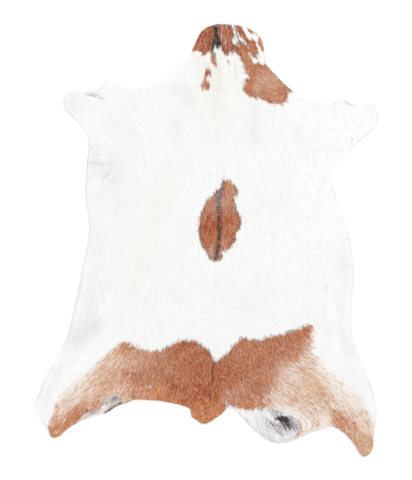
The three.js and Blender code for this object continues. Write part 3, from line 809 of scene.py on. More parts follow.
def line_share(px, py, rows):
    """The share of hair that a dark line takes at each point."""
    share = np.zeros(px.shape)
    pts = np.stack([rows["x"], rows["y"]], 1)
    lo, hi = pts.min(0) - 6, pts.max(0) + 6
    near = np.flatnonzero((px > lo[0]) & (px < hi[0]) & (py > lo[1]) & (py < hi[1]))
    if len(near):
        d2, k, t = to_segments(px[near], py[near], pts[:-1], pts[1:])
        half = rows["half"][k] * (1 - t) + rows["half"][k + 1] * t
        amount = rows["share"][k] * (1 - t) + rows["share"][k + 1] * t
        share[near] = amount * np.clip(1.6 - np.sqrt(d2) / half, 0, 1)
    return share


def patches_at(px, py, streak=0.0):
    """How much each point is in a patch, and at the nearest border the distance, fade, fringe and raggedness."""
    inside, deepest, gradual = np.zeros(len(px)), np.full(len(px), -99.0), np.ones(len(px))
    fringe, ragged = np.zeros(len(px)), np.zeros(len(px))
    for rows, dark, shag in PATCHES:
        depth, fade = patch_depth(px, py, rows)
        amount = np.clip(0.5 + (depth + np.clip(fade - 3, 0, 8) * 0.6 * streak) / fade, 0, 1)
        nearer = depth > deepest
        gradual, deepest = np.where(nearer, fade, gradual), np.maximum(depth, deepest)
        fringe, ragged = np.where(nearer, dark, fringe), np.where(nearer, shag, ragged)
        inside = np.maximum(inside, amount)
    return inside, np.abs(deepest), gradual, fringe * (gradual < 2), ragged


def darkness(colour):
    """0 for white hair, towards 1 for dark."""
    return 1 - np.clip(colour.mean(1) / TONE["white"].mean(), 0, 1)


def coat_colour(px, py, rng):
    """Each blade's own colour, from where it shows."""
    n = len(px)
    pick = rng.random(n)
    fx, fy = heading(px, py)
    fy = -fy  # the photograph's y runs down
    along, across = px * fx + py * fy, -px * fy + py * fx
    streak = rough(across / 2.6, along / 11.0, 1) * 0.5 + rough(across / 1.2, along / 5.0, 2) * 0.8

    colour = np.tile(TONE["white"], (n, 1))
    for k in range(len(WHITE_TONES["x"])):
        w = ellipse(px, py, WHITE_TONES, k) * WHITE_TONES["share"][k]
        w = np.clip(w * (1 + 0.15 * streak), 0, 1)[:, None]
        colour = colour * (1 - w) + TONE[WHITE_TONES["tone"][k]] * w
    white = colour.copy()

    inside, edge, gradual, fringe, _ = patches_at(px, py, streak)

    tone = blended(px, py, BROWN_TONES, "tone")
    share = blended(px, py, BROWN_SHARE, "share")
    share = np.where(py < 300, 1.0, share)
    mixed = np.clip(share + (share * (1 - share)) * 2.8 * streak, 0, 1)
    cream = TONE["cream"] * 0.6 + TONE["pale"] * 0.4
    is_brown = pick < mixed * np.clip(inside, 0, 1)
    is_cream = ~is_brown & (rng.random(n) < inside * 1.15)
    # In a half-and-half zone no blade is fully brown or fully cream
    part = np.clip(0.50 + 0.50 * share, 0, 1)[:, None]
    brown = tone * part + cream * (1 - part)
    pale = cream * (1 - 0.16 * share[:, None]) + tone * 0.16 * share[:, None]
    colour = np.where(is_brown[:, None], brown, colour)
    colour = np.where(is_cream[:, None], pale, colour)

    # Dark hairs where brown meets white at a sharp border, most where white hair lies over it: painted shade under the
    # white tips.
    near = (fringe > 0) & (edge < 2.4) & (inside > 0.3) & is_brown
    chance = np.where(near, 0.34 * np.clip(1.5 - edge / 1.6, 0, 1), 0)
    at = np.flatnonzero(near)
    if len(at):
        above = patches_at(px[at] - 2.6 * fx[at], py[at] - 2.6 * fy[at])[0]
        chance[at] += np.where(above < 0.5, 0.40, 0) * np.clip(1.6 - edge[at] / 1.5, 0, 1)
    tuft = np.clip(0.7 + 0.9 * rough(px / 2.4, py / 2.4, 8), 0.15, 1.3)
    dark = rng.random(n) < chance * fringe * tuft
    shade = np.where(rng.random(n) < 0.5, 1.0, 0.0)[:, None]
    border_shade = TONE["umber"] * shade + (TONE["slate"] * 0.5 + colour * 0.25) * (1 - shade)
    colour = np.where(dark[:, None], border_shade, colour)

    for rows in WHITES:
        depth, fade = patch_depth(px, py, rows)
        over = rng.random(n) < np.clip(0.5 + depth / fade, 0, 1)
        colour = np.where(over[:, None], white * 0.985, colour)
    for rows, names, _ in LINES:
        hit = rng.random(n) < line_share(px, py, rows)
        tones = np.array([TONE[name] for name in names])[rng.integers(0, len(names), n)]
        colour = np.where(hit[:, None], tones, colour)
    for k in range(len(MARKS["x"])):
        hit = rng.random(n) < ellipse(px, py, MARKS, k, 2) * MARKS["share"][k] * (1 + 0.3 * streak)
        colour = np.where(hit[:, None], TONE[MARKS["tone"][k]], colour)

    # Brown and dark hair varies more from blade to blade than white hair does
    depth = darkness(colour)
    some = np.clip(depth / 0.6, 0, 1)
    paler = rng.normal(0, 1, n) * 0.15 * some + streak * 0.30 * some
    vary = 1 + 0.009 * rough(px / 7.0, py / 13.0, 6) * (1 - depth) + 0.002 * rng.normal(0, 1, n)
    return np.clip(colour, 1e-4, 1) ** (1 - paler)[:, None] * vary[:, None]


def jittered(gap, rng):
    """Evenly spread points inside the cut edge, none on a line."""
    nx, ny = int((NX - 1) * GRID / gap), int((NY - 1) * GRID / gap)
    i, j = np.meshgrid(np.arange(nx), np.arange(ny), indexing="ij")
    x = X0 + (i.ravel() + 0.5 * (j.ravel() % 2) + rng.uniform(-0.5, 0.5, nx * ny)) * gap
    y = Y0 + (j.ravel() + rng.uniform(-0.5, 0.5, nx * ny)) * gap
    keep = inset_at(x, y) > 0
    return x[keep], y[keep]


def nearest_clump(x, y, cx, cy):
    """Index of the lock that each blade belongs to."""
    gap = CLUMP_STEP
    cell = {}
    for k, (i, j) in enumerate(zip(np.floor(cx / gap).astype(int), np.floor(cy / gap).astype(int))):
        cell.setdefault((i, j), []).append(k)
    lo_i, lo_j = math.floor(cx.min() / gap) - 2, math.floor(cy.min() / gap) - 2
    ni = math.floor(cx.max() / gap) - lo_i + 3
    nj = math.floor(cy.max() / gap) - lo_j + 3
    slots = np.full((ni, nj, 4), -1)
    for (i, j), ks in cell.items():
        slots[i - lo_i, j - lo_j, : min(4, len(ks))] = ks[:4]
    bi = np.clip(np.floor(x / gap).astype(int) - lo_i, 1, ni - 2)
    bj = np.clip(np.floor(y / gap).astype(int) - lo_j, 1, nj - 2)
    best, which = np.full(x.shape, np.inf), np.zeros(x.shape, int)
    for di in (-1, 0, 1):
        for dj in (-1, 0, 1):
            for s in range(4):
                k = slots[bi + di, bj + dj, s]
                d = np.where(k >= 0, (x - cx[k]) ** 2 + (y - cy[k]) ** 2, np.inf)
                near = d < best
                best, which = np.where(near, d, best), np.where(near, k, which)
    return which


def turned(vx, vy, angle):
    c, s = np.cos(angle), np.sin(angle)
    return vx * c - vy * s, vx * s + vy * c


def grow(x, y, rng, length, width, clumped, out_by):
    """Blades rooted at x, y: their points, five to a blade, and their colours."""
    n = len(x)
    cx, cy = jittered(CLUMP_STEP, rng)
    k = nearest_clump(x, y, cx, cy)

    # Locks first: where each runs, and where it shows
    cpx, cpy = on_photo(cx, cy)
    hx, hy = heading(cpx, cpy)
    wander = 0.16 * rough(cx / 0.045, cy / 0.045, 3) + rng.normal(0, 0.06, len(cx))
    hx, hy = turned(hx, hy, wander)
    c_inset = inset_at(cx, cy)
    c_long = HAIR_SHORT + (HAIR_LONG - HAIR_SHORT) * step(c_inset / 0.06)
    c_long = c_long * rng.uniform(0.86, 1.14, len(cx))
    inside, edge, _, _, ragged = patches_at(cpx, cpy)
    slide = rng.normal(0, 0.0028, len(cx)) * ragged
    lone = np.where(inside > 0.5, 1.0, 1 - 0.8 * np.clip((edge - 3) / 7, 0, 1))

    # Then each blade
    inset = inset_at(x, y)
    long = length * (HAIR_SHORT + (HAIR_LONG - HAIR_SHORT) * step(inset / 0.06))
    long = long * rng.uniform(0.72, 1.12, n)
    px, py = on_photo(x, y)
    fx, fy = heading(px, py)
    # Hairs at a sharp border stand off in all directions
    _, edge, _, fringe, _ = patches_at(px + fx * long * 0.6 / PIXEL, py - fy * long * 0.6 / PIXEL)
    astray = 0.24 * fringe * np.exp(-((edge / 2.5) ** 2))
    fx, fy = turned(fx, fy, wander[k] * 0.8 + rng.normal(0, 1, n) * (0.085 + astray))
    mx, my = x + fx * long * 0.5, y + fy * long * 0.5
    gx, gy = heading(*on_photo(mx, my))
    gx, gy = turned(gx, gy, wander[k] * 0.8 + rng.normal(0, 1, n) * (0.10 + astray))
    tx, ty = mx + gx * long * 0.5, my + gy * long * 0.5
    lean = clumped * lone[k] * rng.uniform(0.5, 1.2, n)
    ctx, cty = cx + hx * c_long, cy + hy * c_long
    cmx, cmy = cx + hx * c_long * 0.5, cy + hy * c_long * 0.5
    tx, ty = tx + (ctx[k] - tx) * lean, ty + (cty[k] - ty) * lean
    mx, my = mx + (cmx[k] - mx) * lean * 0.35, my + (cmy[k] - my) * lean * 0.35

    # Few tips reach past the cut edge, and none far
    for _ in range(3):
        over = inset_at(tx, ty) + out_by
        far = np.maximum(inset, 0.0008) + out_by
        s = np.where(over < 0, np.clip(far / (far - over), 0.25, 1), 1.0)
        tx, ty = x + (tx - x) * s, y + (ty - y) * s
        mx, my = x + (mx - x) * s, y + (my - y) * s

    # Where it shows decides its colour, mostly together with its lock
    show = rng.normal(SHOWS_AT, 0.05, n)
    qx, qy = x + (tx - x) * show, y + (ty - y) * show
    lx = cx + hx * (c_long * SHOWS_AT + slide)
    ly = cy + hy * (c_long * SHOWS_AT + slide)
    sx, sy = hx[k] * slide[k], hy[k] * slide[k]
    together = 0.30
    qx = (qx + sx) * (1 - together) + lx[k] * together
    qy = (qy + sy) * (1 - together) + ly[k] * together
    colour = coat_colour(*on_photo(qx, qy), rng)

    # Heights: out of the skin, then lying on the hair below
    def top(ax, ay):
        return lift(ax, ay) + SKIN, pile(ax, ay, inset_at(ax, ay))

    rz, _ = top(x, y)
    mz, mp = top(mx, my)
    tz, tp = top(tx, ty)
    inside_m, inside_t = inset_at(mx, my), inset_at(tx, ty)
    level = rng.uniform(0.80, 1.08, n)
    level = np.where(darkness(colour) < 0.05, 0.97 + (level - 0.94) * 0.4, level)
    mz = mz + mp * level * rng.uniform(0.52, 0.72, n)
    tz = tz + tp * level * rng.uniform(0.86, 1.0, n)
    # Past the edge the tips droop
    droop = np.clip(-inside_t / 0.003, 0, 1)
    tz = tz - droop * (tz - lift(tx, ty)) * rng.uniform(0.25, 0.65, n)
    mz = mz - np.clip(-inside_m / 0.003, 0, 1) * 0.0006
    rz = rz - 0.0002

    # The blade's width, rolled a little about its own length
    ax, ay = tx - x, ty - y
    flat = np.hypot(ax, ay) + 1e-9
    ax, ay = ax / flat, ay / flat
    depth = darkness(colour)
    plain = np.clip(depth / 0.35, 0, 1)
    roll = rng.normal(0, 1, n) * (0.07 + 0.39 * plain)
    wx, wy, wz = -ay * np.cos(roll), ax * np.cos(roll), np.sin(roll)
    wide = width * rng.uniform(0.7, 1.2, n) * (1.5 - 0.5 * plain)
    co = np.empty((n, 5, 3), np.float32)
    for i, (bx, by, bz, share) in enumerate(((x, y, rz, 0.40), (mx, my, mz, 0.5))):
        h = wide * share
        co[:, 2 * i] = np.stack([bx - wx * h, by - wy * h, bz - wz * h], 1)
        co[:, 2 * i + 1] = np.stack([bx + wx * h, by + wy * h, bz + wz * h], 1)
    co[:, 4] = np.stack([tx, ty, tz], 1)
    floor = lift(x, y)[:, None] + 0.0003
    co[:, :, 2] = np.maximum(co[:, :, 2], floor)

    # Painted shade along the cut edge, darker for blades that show within about 2 mm of it. Then along each blade
    # painted shade and light: darker at the root, where brown, and a little lighter at the tip, but for the dark tips
    # at a border, which are painted shade too.
    rim = (0.16 + 0.09 * rough(x / 0.035, y / 0.035, 7)) * np.exp(-np.maximum(inset_at(qx, qy), 0) / 0.0017)
    colour = colour * (1 - rim)[:, None]
    grain = np.clip(depth / 0.30, 0, 1)[:, None]  # how much the hair's own grain and the painted sheen show
    # The blade is made darker by as much as the material's painted sheen lightens it again
    colour = np.maximum(colour - SHEEN_SHARE * grain * SHEEN_TINT, colour * 0.35) / (1 - SHEEN_SHARE * grain)
    _, edge, _, fringe, _ = patches_at(*on_photo(tx, ty))
    border_shade = (rng.random(n) < 0.75 * fringe * np.exp(-((edge / 2.0) ** 2))) & (depth > 0.25)
    rgba = np.ones((n, 5, 4), np.float32)
    for i, change in enumerate((-0.30, -0.30, -0.04, -0.04, 0.10)):
        rgba[:, i, :3] = np.clip(colour * (1 + change * depth[:, None]), 0, 1)
        rgba[:, i, 3] = grain[:, 0]
    rgba[border_shade, 4, :3] = TONE["slate"] * 0.7
    return co, rgba


def blades_mesh(name, co, rgba, material):
    """One joined mesh of blades. Each has a quad and a triangle, and a cell of the map to itself."""
    n = len(co)
    order = np.argsort(rgba[:, 2, :3].sum(1), kind="stable")  # like colours side by side in the map
    co, rgba = co[order], rgba[order]
    me = bpy.data.meshes.new(name)
    me.vertices.add(n * 5)
    me.vertices.foreach_set("co", co.ravel())
    base = (np.arange(n) * 5)[:, None]
    loops = (base + np.array([0, 1, 3, 2, 2, 3, 4])).ravel()
    me.loops.add(n * 7)
    me.loops.foreach_set("vertex_index", loops.astype(np.int32))
    me.polygons.add(n * 2)
    starts = ((np.arange(n) * 7)[:, None] + np.array([0, 4])).ravel()
    me.polygons.foreach_set("loop_start", starts.astype(np.int32))
    coat = me.color_attributes.new("coat", "FLOAT_COLOR", "POINT")
    coat.data.foreach_set("color", rgba.ravel())
    side = math.ceil(math.sqrt(n))
    cell = np.stack([np.arange(n) % side, np.arange(n) // side], 1)[:, None, :]
    shape = np.array([[0.08, 0.05], [0.92, 0.05], [0.92, 0.5], [0.08, 0.5], [0.08, 0.5], [0.92, 0.5], [0.5, 0.97]])
    uv = me.uv_layers.new(name="OFBake")
    uv.uv.foreach_set("vector", ((cell + shape) / side).astype(np.float32).ravel())
    me.update(calc_edges=True)
    me.materials.append(material)
    ob = bpy.data.objects.new(name, me)
    bpy.context.scene.collection.objects.link(ob)
    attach(ob, "root")
    return ob


# ---- materials ------------------------------------------------------------------------
def new_material(name):
    m = bpy.data.materials.new(name)
    m.use_nodes = True
    return m, m.node_tree.nodes, m.node_tree.links, m.node_tree.nodes["Principled BSDF"]


def hair_material():
    m, nodes, links, shader = new_material("goat_hair")
    coat = nodes.new("ShaderNodeAttribute")
    coat.attribute_name = "coat"
    where = nodes.new("ShaderNodeTexCoord")
    fine = nodes.new("ShaderNodeTexNoise")
    fine.inputs["Scale"].default_value = 340
    fine.inputs["Detail"].default_value = 2
    links.new(where.outputs["Object"], fine.inputs["Vector"])
    # Deeper and paler grains along the hair
    swing = nodes.new("ShaderNodeMapRange")
    swing.inputs["From Min"].default_value = 0.3
    swing.inputs["From Max"].default_value = 0.7
    swing.inputs["To Min"].default_value = -0.42
    swing.inputs["To Max"].default_value = 0.42
    links.new(fine.outputs["Fac"], swing.inputs["Value"])
    shade = nodes.new("ShaderNodeMath")
    shade.operation = "MULTIPLY_ADD"
    shade.inputs[2].default_value = 1.0
    links.new(swing.outputs["Result"], shade.inputs[0])
    links.new(coat.outputs["Alpha"], shade.inputs[1])
    tint = nodes.new("ShaderNodeGamma")
    links.new(coat.outputs["Color"], tint.inputs["Color"])
    links.new(shade.outputs["Value"], tint.inputs["Gamma"])
    # Painted sheen: pale, pinkish highlights among the brown
    sheen_spots = nodes.new("ShaderNodeTexNoise")
    sheen_spots.inputs["Scale"].default_value = 520
    sheen_spots.inputs["Detail"].default_value = 1
    links.new(where.outputs["Object"], sheen_spots.inputs["Vector"])
    some = nodes.new("ShaderNodeMapRange")
    some.inputs["From Min"].default_value = 0.54
    some.inputs["From Max"].default_value = 0.74
    some.inputs["To Min"].default_value = 0.0
    some.inputs["To Max"].default_value = 0.85
    links.new(sheen_spots.outputs["Fac"], some.inputs["Value"])
    amount = nodes.new("ShaderNodeMath")
    amount.operation = "MULTIPLY"
    links.new(some.outputs["Result"], amount.inputs[0])
    links.new(coat.outputs["Alpha"], amount.inputs[1])
    mix = nodes.new("ShaderNodeMix")
    mix.data_type = "RGBA"
    mix.inputs["B"].default_value = (*SHEEN_TINT, 1)
    links.new(amount.outputs["Value"], mix.inputs["Factor"])
    links.new(tint.outputs["Color"], mix.inputs["A"])
    links.new(mix.outputs["Result"], shader.inputs["Base Color"])
    gloss = nodes.new("ShaderNodeMapRange")
    gloss.inputs["To Min"].default_value = 0.48
    gloss.inputs["To Max"].default_value = 0.62
    links.new(fine.outputs["Fac"], gloss.inputs["Value"])
    links.new(gloss.outputs["Result"], shader.inputs["Roughness"])
    shader.inputs["Specular IOR Level"].default_value = 0.25
    shader.inputs["Sheen Weight"].default_value = 0.08
    shader.inputs["Sheen Roughness"].default_value = 0.4
    return m


def skin_material():
    """Suede below and at the cut edge, thin under-hair above."""
    m, nodes, links, shader = new_material("tanned_skin")
    where = nodes.new("ShaderNodeTexCoord")
    cloudy = nodes.new("ShaderNodeTexNoise")
    cloudy.inputs["Scale"].default_value = 14
    cloudy.inputs["Detail"].default_value = 6
    nap = nodes.new("ShaderNodeTexNoise")
    nap.inputs["Scale"].default_value = 700
    nap.inputs["Detail"].default_value = 4
    suede = nodes.new("ShaderNodeValToRGB")
    suede.color_ramp.elements[0].position = 0.32
    suede.color_ramp.elements[0].color = (0.60, 0.50, 0.37, 1)
    suede.color_ramp.elements[1].position = 0.70
    suede.color_ramp.elements[1].color = (0.78, 0.71, 0.59, 1)
    links.new(where.outputs["Object"], cloudy.inputs["Vector"])
    links.new(where.outputs["Object"], nap.inputs["Vector"])
    links.new(cloudy.outputs["Fac"], suede.inputs["Fac"])
    coat = nodes.new("ShaderNodeAttribute")
    coat.attribute_name = "coat"
    up = nodes.new("ShaderNodeAttribute")
    up.attribute_name = "hair_side"
    mix = nodes.new("ShaderNodeMix")
    mix.data_type = "RGBA"
    links.new(up.outputs["Fac"], mix.inputs["Factor"])
    links.new(suede.outputs["Color"], mix.inputs["A"])
    links.new(coat.outputs["Color"], mix.inputs["B"])
    links.new(mix.outputs["Result"], shader.inputs["Base Color"])
    bump = nodes.new("ShaderNodeBump")
    bump.inputs["Strength"].default_value = 0.5
    bump.inputs["Distance"].default_value = 0.0004
    links.new(nap.outputs["Fac"], bump.inputs["Height"])
    links.new(bump.outputs["Normal"], shader.inputs["Normal"])
    shader.inputs["Roughness"].default_value = 0.9
    shader.inputs["Specular IOR Level"].default_value = 0.2
    return m


def floor_material():
    m, nodes, links, shader = new_material("plain_floor")
    where = nodes.new("ShaderNodeTexCoord")
    grain = nodes.new("ShaderNodeTexNoise")
    grain.inputs["Scale"].default_value = 60
    shade = nodes.new("ShaderNodeMapRange")
    shade.inputs["To Min"].default_value = 0.935
    shade.inputs["To Max"].default_value = 0.945
    pale = nodes.new("ShaderNodeCombineColor")
    links.new(where.outputs["Object"], grain.inputs["Vector"])
    links.new(grain.outputs["Fac"], shade.inputs["Value"])
    for channel in ("Red", "Green", "Blue"):
        links.new(shade.outputs["Result"], pale.inputs[channel])
    links.new(pale.outputs["Color"], shader.inputs["Base Color"])
    shader.inputs["Roughness"].default_value = 0.85
    shader.inputs["Specular IOR Level"].default_value = 0.1
    return m


# ---- the skin ------------------------------------------------------------------------------
def make_skin(material):
    """A closed sheet, flat below and 1.3 mm thick, with an uneven cut edge."""
    ring = RIM.copy()
    after, before = np.roll(ring, -1, 0), np.roll(ring, 1, 0)
    d = after - before
    d /= np.hypot(d[:, 0], d[:, 1])[:, None]
    inward = np.stack([-d[:, 1], d[:, 0]], 1)
    back = 0.0007 + 0.0005 * rough(ring[:, 0] / 0.011, ring[:, 1] / 0.011, 5) + trimmed(*on_photo(ring[:, 0], ring[:, 1]))
    ring = ring + inward * back[:, None]
    n = len(ring)
    gap = 0.0068
    rows = []
    for j in range(int((NY - 1) * GRID / (gap * 0.866))):
        for i in range(int((NX - 1) * GRID / gap)):
            rows.append((X0 + (i + 0.5 * (j % 2)) * gap, Y0 + j * gap * 0.866))
    x, y = np.array(rows).T
    keep = inset_at(x, y) > 0.0055
    pts = [tuple(p) for p in ring] + list(zip(x[keep], y[keep]))
    edges = [(i, (i + 1) % n) for i in range(n)]
    verts, _, faces, *_ = delaunay_2d_cdt(pts, edges, [], 1, 1e-7)
    xy = np.array([tuple(v) for v in verts])
    faces = np.array(faces)
    a, b, c = xy[faces[:, 0]], xy[faces[:, 1]], xy[faces[:, 2]]
    area = (b[:, 0] - a[:, 0]) * (c[:, 1] - a[:, 1]) - (b[:, 1] - a[:, 1]) * (c[:, 0] - a[:, 0])
    faces[area < 0] = faces[area < 0][:, ::-1]
    m = len(xy)
    low = lift(xy[:, 0], xy[:, 1])
    co = np.concatenate([np.column_stack([xy, low]), np.column_stack([xy, low + SKIN])])
    pairs = {(int(u), int(v)) for f in faces for u, v in ((f[0], f[1]), (f[1], f[2]), (f[2], f[0]))}
    rim = [(u, v) for u, v in pairs if (v, u) not in pairs]
    polys = [tuple(f[::-1]) for f in faces.tolist()]
    polys += [tuple(i + m for i in f) for f in faces.tolist()]
    polys += [(u, v, v + m, u + m) for u, v in rim]
    me = bpy.data.meshes.new("skin")
    me.from_pydata(co.tolist(), [], polys)
    me.validate()
    shade = coat_colour(*on_photo(co[:, 0], co[:, 1]), np.random.default_rng(SEED + 3))
    rgba = np.ones((2 * m, 4), np.float32)
    rgba[:, :3] = np.clip(shade, 0, 1)
    coat = me.color_attributes.new("coat", "FLOAT_COLOR", "POINT")
    coat.data.foreach_set("color", rgba.ravel())
    side = me.attributes.new("hair_side", "FLOAT", "POINT")
    side.data.foreach_set("value", np.repeat([0.0, 1.0], m).astype(np.float32))
    me.materials.append(material)
    ob = bpy.data.objects.new("skin", me)
    bpy.context.scene.collection.objects.link(ob)
    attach(ob, "root")
    return ob


# ---- the hair --------------------------------------------------------------------------------
def lay(cx, cy, dx, dy, long, wide, root_colour, tip_colour, rng, over=0.0, curl=0.16):
    """Thin single hairs lying on top of the coat, centred at cx, cy."""
    ex, ey = turned(dx, dy, rng.normal(0, curl, len(cx)))
    root = cx - dx * long * 0.5, cy - dy * long * 0.5
    tip = cx + ex * long * 0.5, cy + ey * long * 0.5
    return lay_through(root, (cx, cy), tip, wide, root_colour, tip_colour, rng, over)


def lay_through(root, middle, tip, wide, root_colour, tip_colour, rng, over):
    """Thin hairs lying on top of the coat, each through three places."""
    (rx, ry), (cx, cy), (tx, ty) = root, middle, tip
    n = len(cx)
    dx, dy = tx - rx, ty - ry
    far = np.hypot(dx, dy) + 1e-9
    dx, dy = dx / far, dy / far
    co = np.empty((n, 5, 3), np.float32)
    for i, (ax, ay, half) in enumerate(((rx, ry, 0.3), (cx, cy, 0.5))):
        z = lift(ax, ay) + SKIN + pile(ax, ay, inset_at(ax, ay)) * (over + rng.uniform(0.93, 1.06, n))
        co[:, 2 * i] = np.stack([ax + dy * wide * half, ay - dx * wide * half, z], 1)
        co[:, 2 * i + 1] = np.stack([ax - dy * wide * half, ay + dx * wide * half, z], 1)
    z = lift(tx, ty) + SKIN + pile(tx, ty, inset_at(tx, ty)) * (over + rng.uniform(0.96, 1.05, n))
    co[:, 4] = np.stack([tx, ty, z], 1)
    rgba = np.ones((n, 5, 4), np.float32)
    for i, share in enumerate((0, 0, 0.5, 0.5, 1)):
        rgba[:, i, :3] = root_colour * (1 - share) + tip_colour * share
        rgba[:, i, 3] = np.clip(darkness(root_colour) / 0.3, 0, 1) * 0.6
    cut = trimmed(*on_photo(tx, ty))
    keep = (inset_at(rx, ry) > 0.0012 + cut) & (inset_at(tx, ty) > 0.0004 + cut)
    return co[keep], np.clip(rgba[keep], 0, 1)


def border_shade_hairs(rng):
    """Single dark hairs across the sharp borders of the patches: painted shade under the white tips that lie over the
    brown.
    """
    found = []
    for rows, dark, _ in PATCHES:
        ring = np.stack([rows["x"], rows["y"]], 1)
        for k, (a, b) in enumerate(zip(ring, np.roll(ring, -1, 0))):
            if rows["fade"][k] >= 2:
                continue
            long = math.hypot(*(b - a))
            for t in rng.random(rng.poisson(long * 0.75 * dark)):
                found.append(a + (b - a) * t)
    px, py = np.array(found).T
    px, py = px + rng.normal(0, 0.9, len(px)), py + rng.normal(0, 0.9, len(px))
    tuft = rng.random(len(px)) < np.clip(0.6 + 1.1 * rough(px / 2.4, py / 2.4, 8), 0.1, 1)
    px, py = px[tuft], py[tuft]
    covered = sum((patch_depth(px, py, rows)[0] > 3.5).astype(int) for rows, _, _ in PATCHES)
    px, py = px[covered == 0], py[covered == 0]
    x, y = on_hide(px, py)
    dx, dy = turned(*heading(px, py), rng.normal(0, 0.42, len(x)))
    n = len(x)
    tone = np.array([TONE["slate"], TONE["umber"], TONE["slate"] * 0.5])[rng.integers(0, 3, n)]
    return lay(x, y, dx, dy, rng.uniform(0.005, 0.0085, n), rng.uniform(0.0005, 0.0008, n), tone, tone, rng)


def line_hairs(rng):
    """Single hairs along the dark and light lines."""
    parts = []
    for rows, names, count in LINES:
        pts = np.stack([rows["x"], rows["y"]], 1)
        for k, (a, b) in enumerate(zip(pts[:-1], pts[1:])):
            along = (b - a) / math.hypot(*(b - a))
            n = rng.poisson(math.hypot(*(b - a)) * count * rows["share"][k])
            if n == 0:
                continue
            t, off = rng.random((n, 1)), rng.normal(0, 0.5, (n, 1)) * rows["half"][k]
            px, py = (a + (b - a) * t + np.array([[-along[1], along[0]]]) * off).T
            way = np.sign(np.sum(np.stack(heading(px, py), 1) * (along * (1, -1)), 1) + 1e-9)
            dx, dy = turned(along[0] * way, -along[1] * way, rng.normal(0, 0.10, n))
            tone = np.array([TONE[name] for name in names])[rng.integers(0, len(names), n)]
            x, y = on_hide(px, py)
            parts.append(lay(x, y, dx, dy, rng.uniform(0.005, 0.009, n), rng.uniform(0.0005, 0.0010, n), tone, tone, rng, 0.10))
    return np.concatenate([p[0] for p in parts]), np.concatenate([p[1] for p in parts])


def udder_hairs(rng):
    """Separate white and grey hairs where the coat is thin, on the udders."""
    x, y = jittered(0.0017, rng)
    px, py = on_photo(x, y)
    depth, fade = patch_depth(px, py, WHITES[0])
    right = np.clip(0.5 + depth / fade, 0, 1) * (px > 240)
    left = np.clip(0.5 + patch_depth(px, py, WHITES[1])[0] / 2, 0, 1)
    left = np.maximum(left, ellipse(px, py, MARKS, LEFT_UDDER_MARK, 2))
    clear = np.ones(len(x), bool)
    for k in range(len(MARKS["x"])):
        if MARKS["tone"][k] in ("black", "slate", "violet"):
            clear &= ellipse(px, py, MARKS, k, 2) < 0.3
    for rows, _, count in LINES:
        clear &= (line_share(px, py, rows) < 0.2) | (count == 0)
    keep = (rng.random(len(x)) < np.maximum(right, left)) & clear
    px, py, x, y = px[keep], py[keep], x[keep], y[keep]
    n = len(x)
    warm = step((px - 286) / 20)[:, None]  # fawn hairs come in towards the thigh
    thin = np.where(px < 150, 0.9, np.exp(-(((px - 276) / 14) ** 2) - ((py - 424) / 14) ** 2))[:, None]
    lilac = TONE["ash"] * 0.6 + TONE["cream"] * 0.4
    light = np.where((px < 150)[:, None], lilac, TONE["white"] * (1 - warm) + TONE["pale"] * warm)
    shade = rng.uniform(0.2, 1.0, (n, 1)) * (0.25 + 0.75 * np.maximum(thin, warm))
    dark = TONE["grey"] * 0.75 * (1 - warm) + (TONE["fawn"] * 0.5 + TONE["grey"] * 0.5) * warm
    dark = np.where((px < 150)[:, None], TONE["violet"] * 0.5 + TONE["fawn"] * 0.5, dark)
    dark = light * (1 - shade) + dark * shade
    colour = np.where((rng.random(n) < np.where(px < 150, 0.2, 0.42))[:, None], light, dark)
    dx, dy = turned(*heading(px, py), rng.normal(0, 0.07, n))
    return lay(x, y, dx, dy, rng.uniform(0.008, 0.014, n), rng.uniform(0.0005, 0.0009, n), colour, colour, rng, 0.03, 0.08)


def fan_hairs(rng):
    """Long strands over the udder flap, each of two blades along an arc."""
    arcs = np.stack([FAN[c] for c in ("x0", "y0", "x1", "y1", "x2", "y2")], 1)
    parts = []
    for k in range(len(arcs) - 1):
        n = FAN_STRANDS
        u = rng.random(n)
        a, m, b = np.split(arcs[k] * (1 - u[:, None]) + arcs[k + 1] * u[:, None], 3, axis=1)
        lock = np.floor(u * FAN_LOCKS).astype(int)
        share = FAN["share"][k] * (1 - u) + FAN["share"][k + 1] * u
        dark = rng.random(FAN_LOCKS)[lock] + rng.normal(0, 0.12, n) < share
        blend = u[:, None]
        light = TONE[FAN["light"][k]] * (1 - blend) + TONE[FAN["light"][k + 1]] * blend
        deep = TONE[FAN["dark"][k]] * (1 - blend) + TONE[FAN["dark"][k + 1]] * blend
        tone = np.where(dark[:, None], deep, light) * rng.uniform(0.90, 1.0, (n, 1))
        start = rng.uniform(0.0, 0.5, n)
        end = np.minimum(start + rng.uniform(0.35, 0.7, n), rng.uniform(0.93, 1.03, n))
        wide = rng.uniform(0.0005, 0.0009, n)

        def at(t):
            t = (start + (end - start) * t)[:, None]
            place = a * (1 - t) * (1 - 2 * t) + m * 4 * t * (1 - t) + b * t * (2 * t - 1)
            return on_hide(place[:, 0], place[:, 1])

        for t0, t2 in ((0.0, 0.6), (0.4, 1.0)):
            clear = np.ones(n, bool)
            px, py = on_photo(*at((t0 + t2) / 2))
            for j in range(len(MARKS["x"])):
                if MARKS["tone"][j] == "black":
                    clear &= ellipse(px, py, MARKS, j, 2) < 0.35
            places = [(x[clear], y[clear]) for x, y in (at(t0), at((t0 + t2) / 2), at(t2))]
            # Greyer towards the spot
            near = np.exp(-(((px - 282) / 14) ** 2) - ((py - 421) / 9) ** 2) * 0.5 + 0.13 * step((436 - py) / 8)
            greyed = (tone * (1 - near * np.clip((306 - px) / 12, 0, 1))[:, None])[clear]
            parts.append(lay_through(*places, wide[clear], greyed, greyed, rng, 0.06))
    return np.concatenate([p[0] for p in parts]), np.concatenate([p[1] for p in parts])


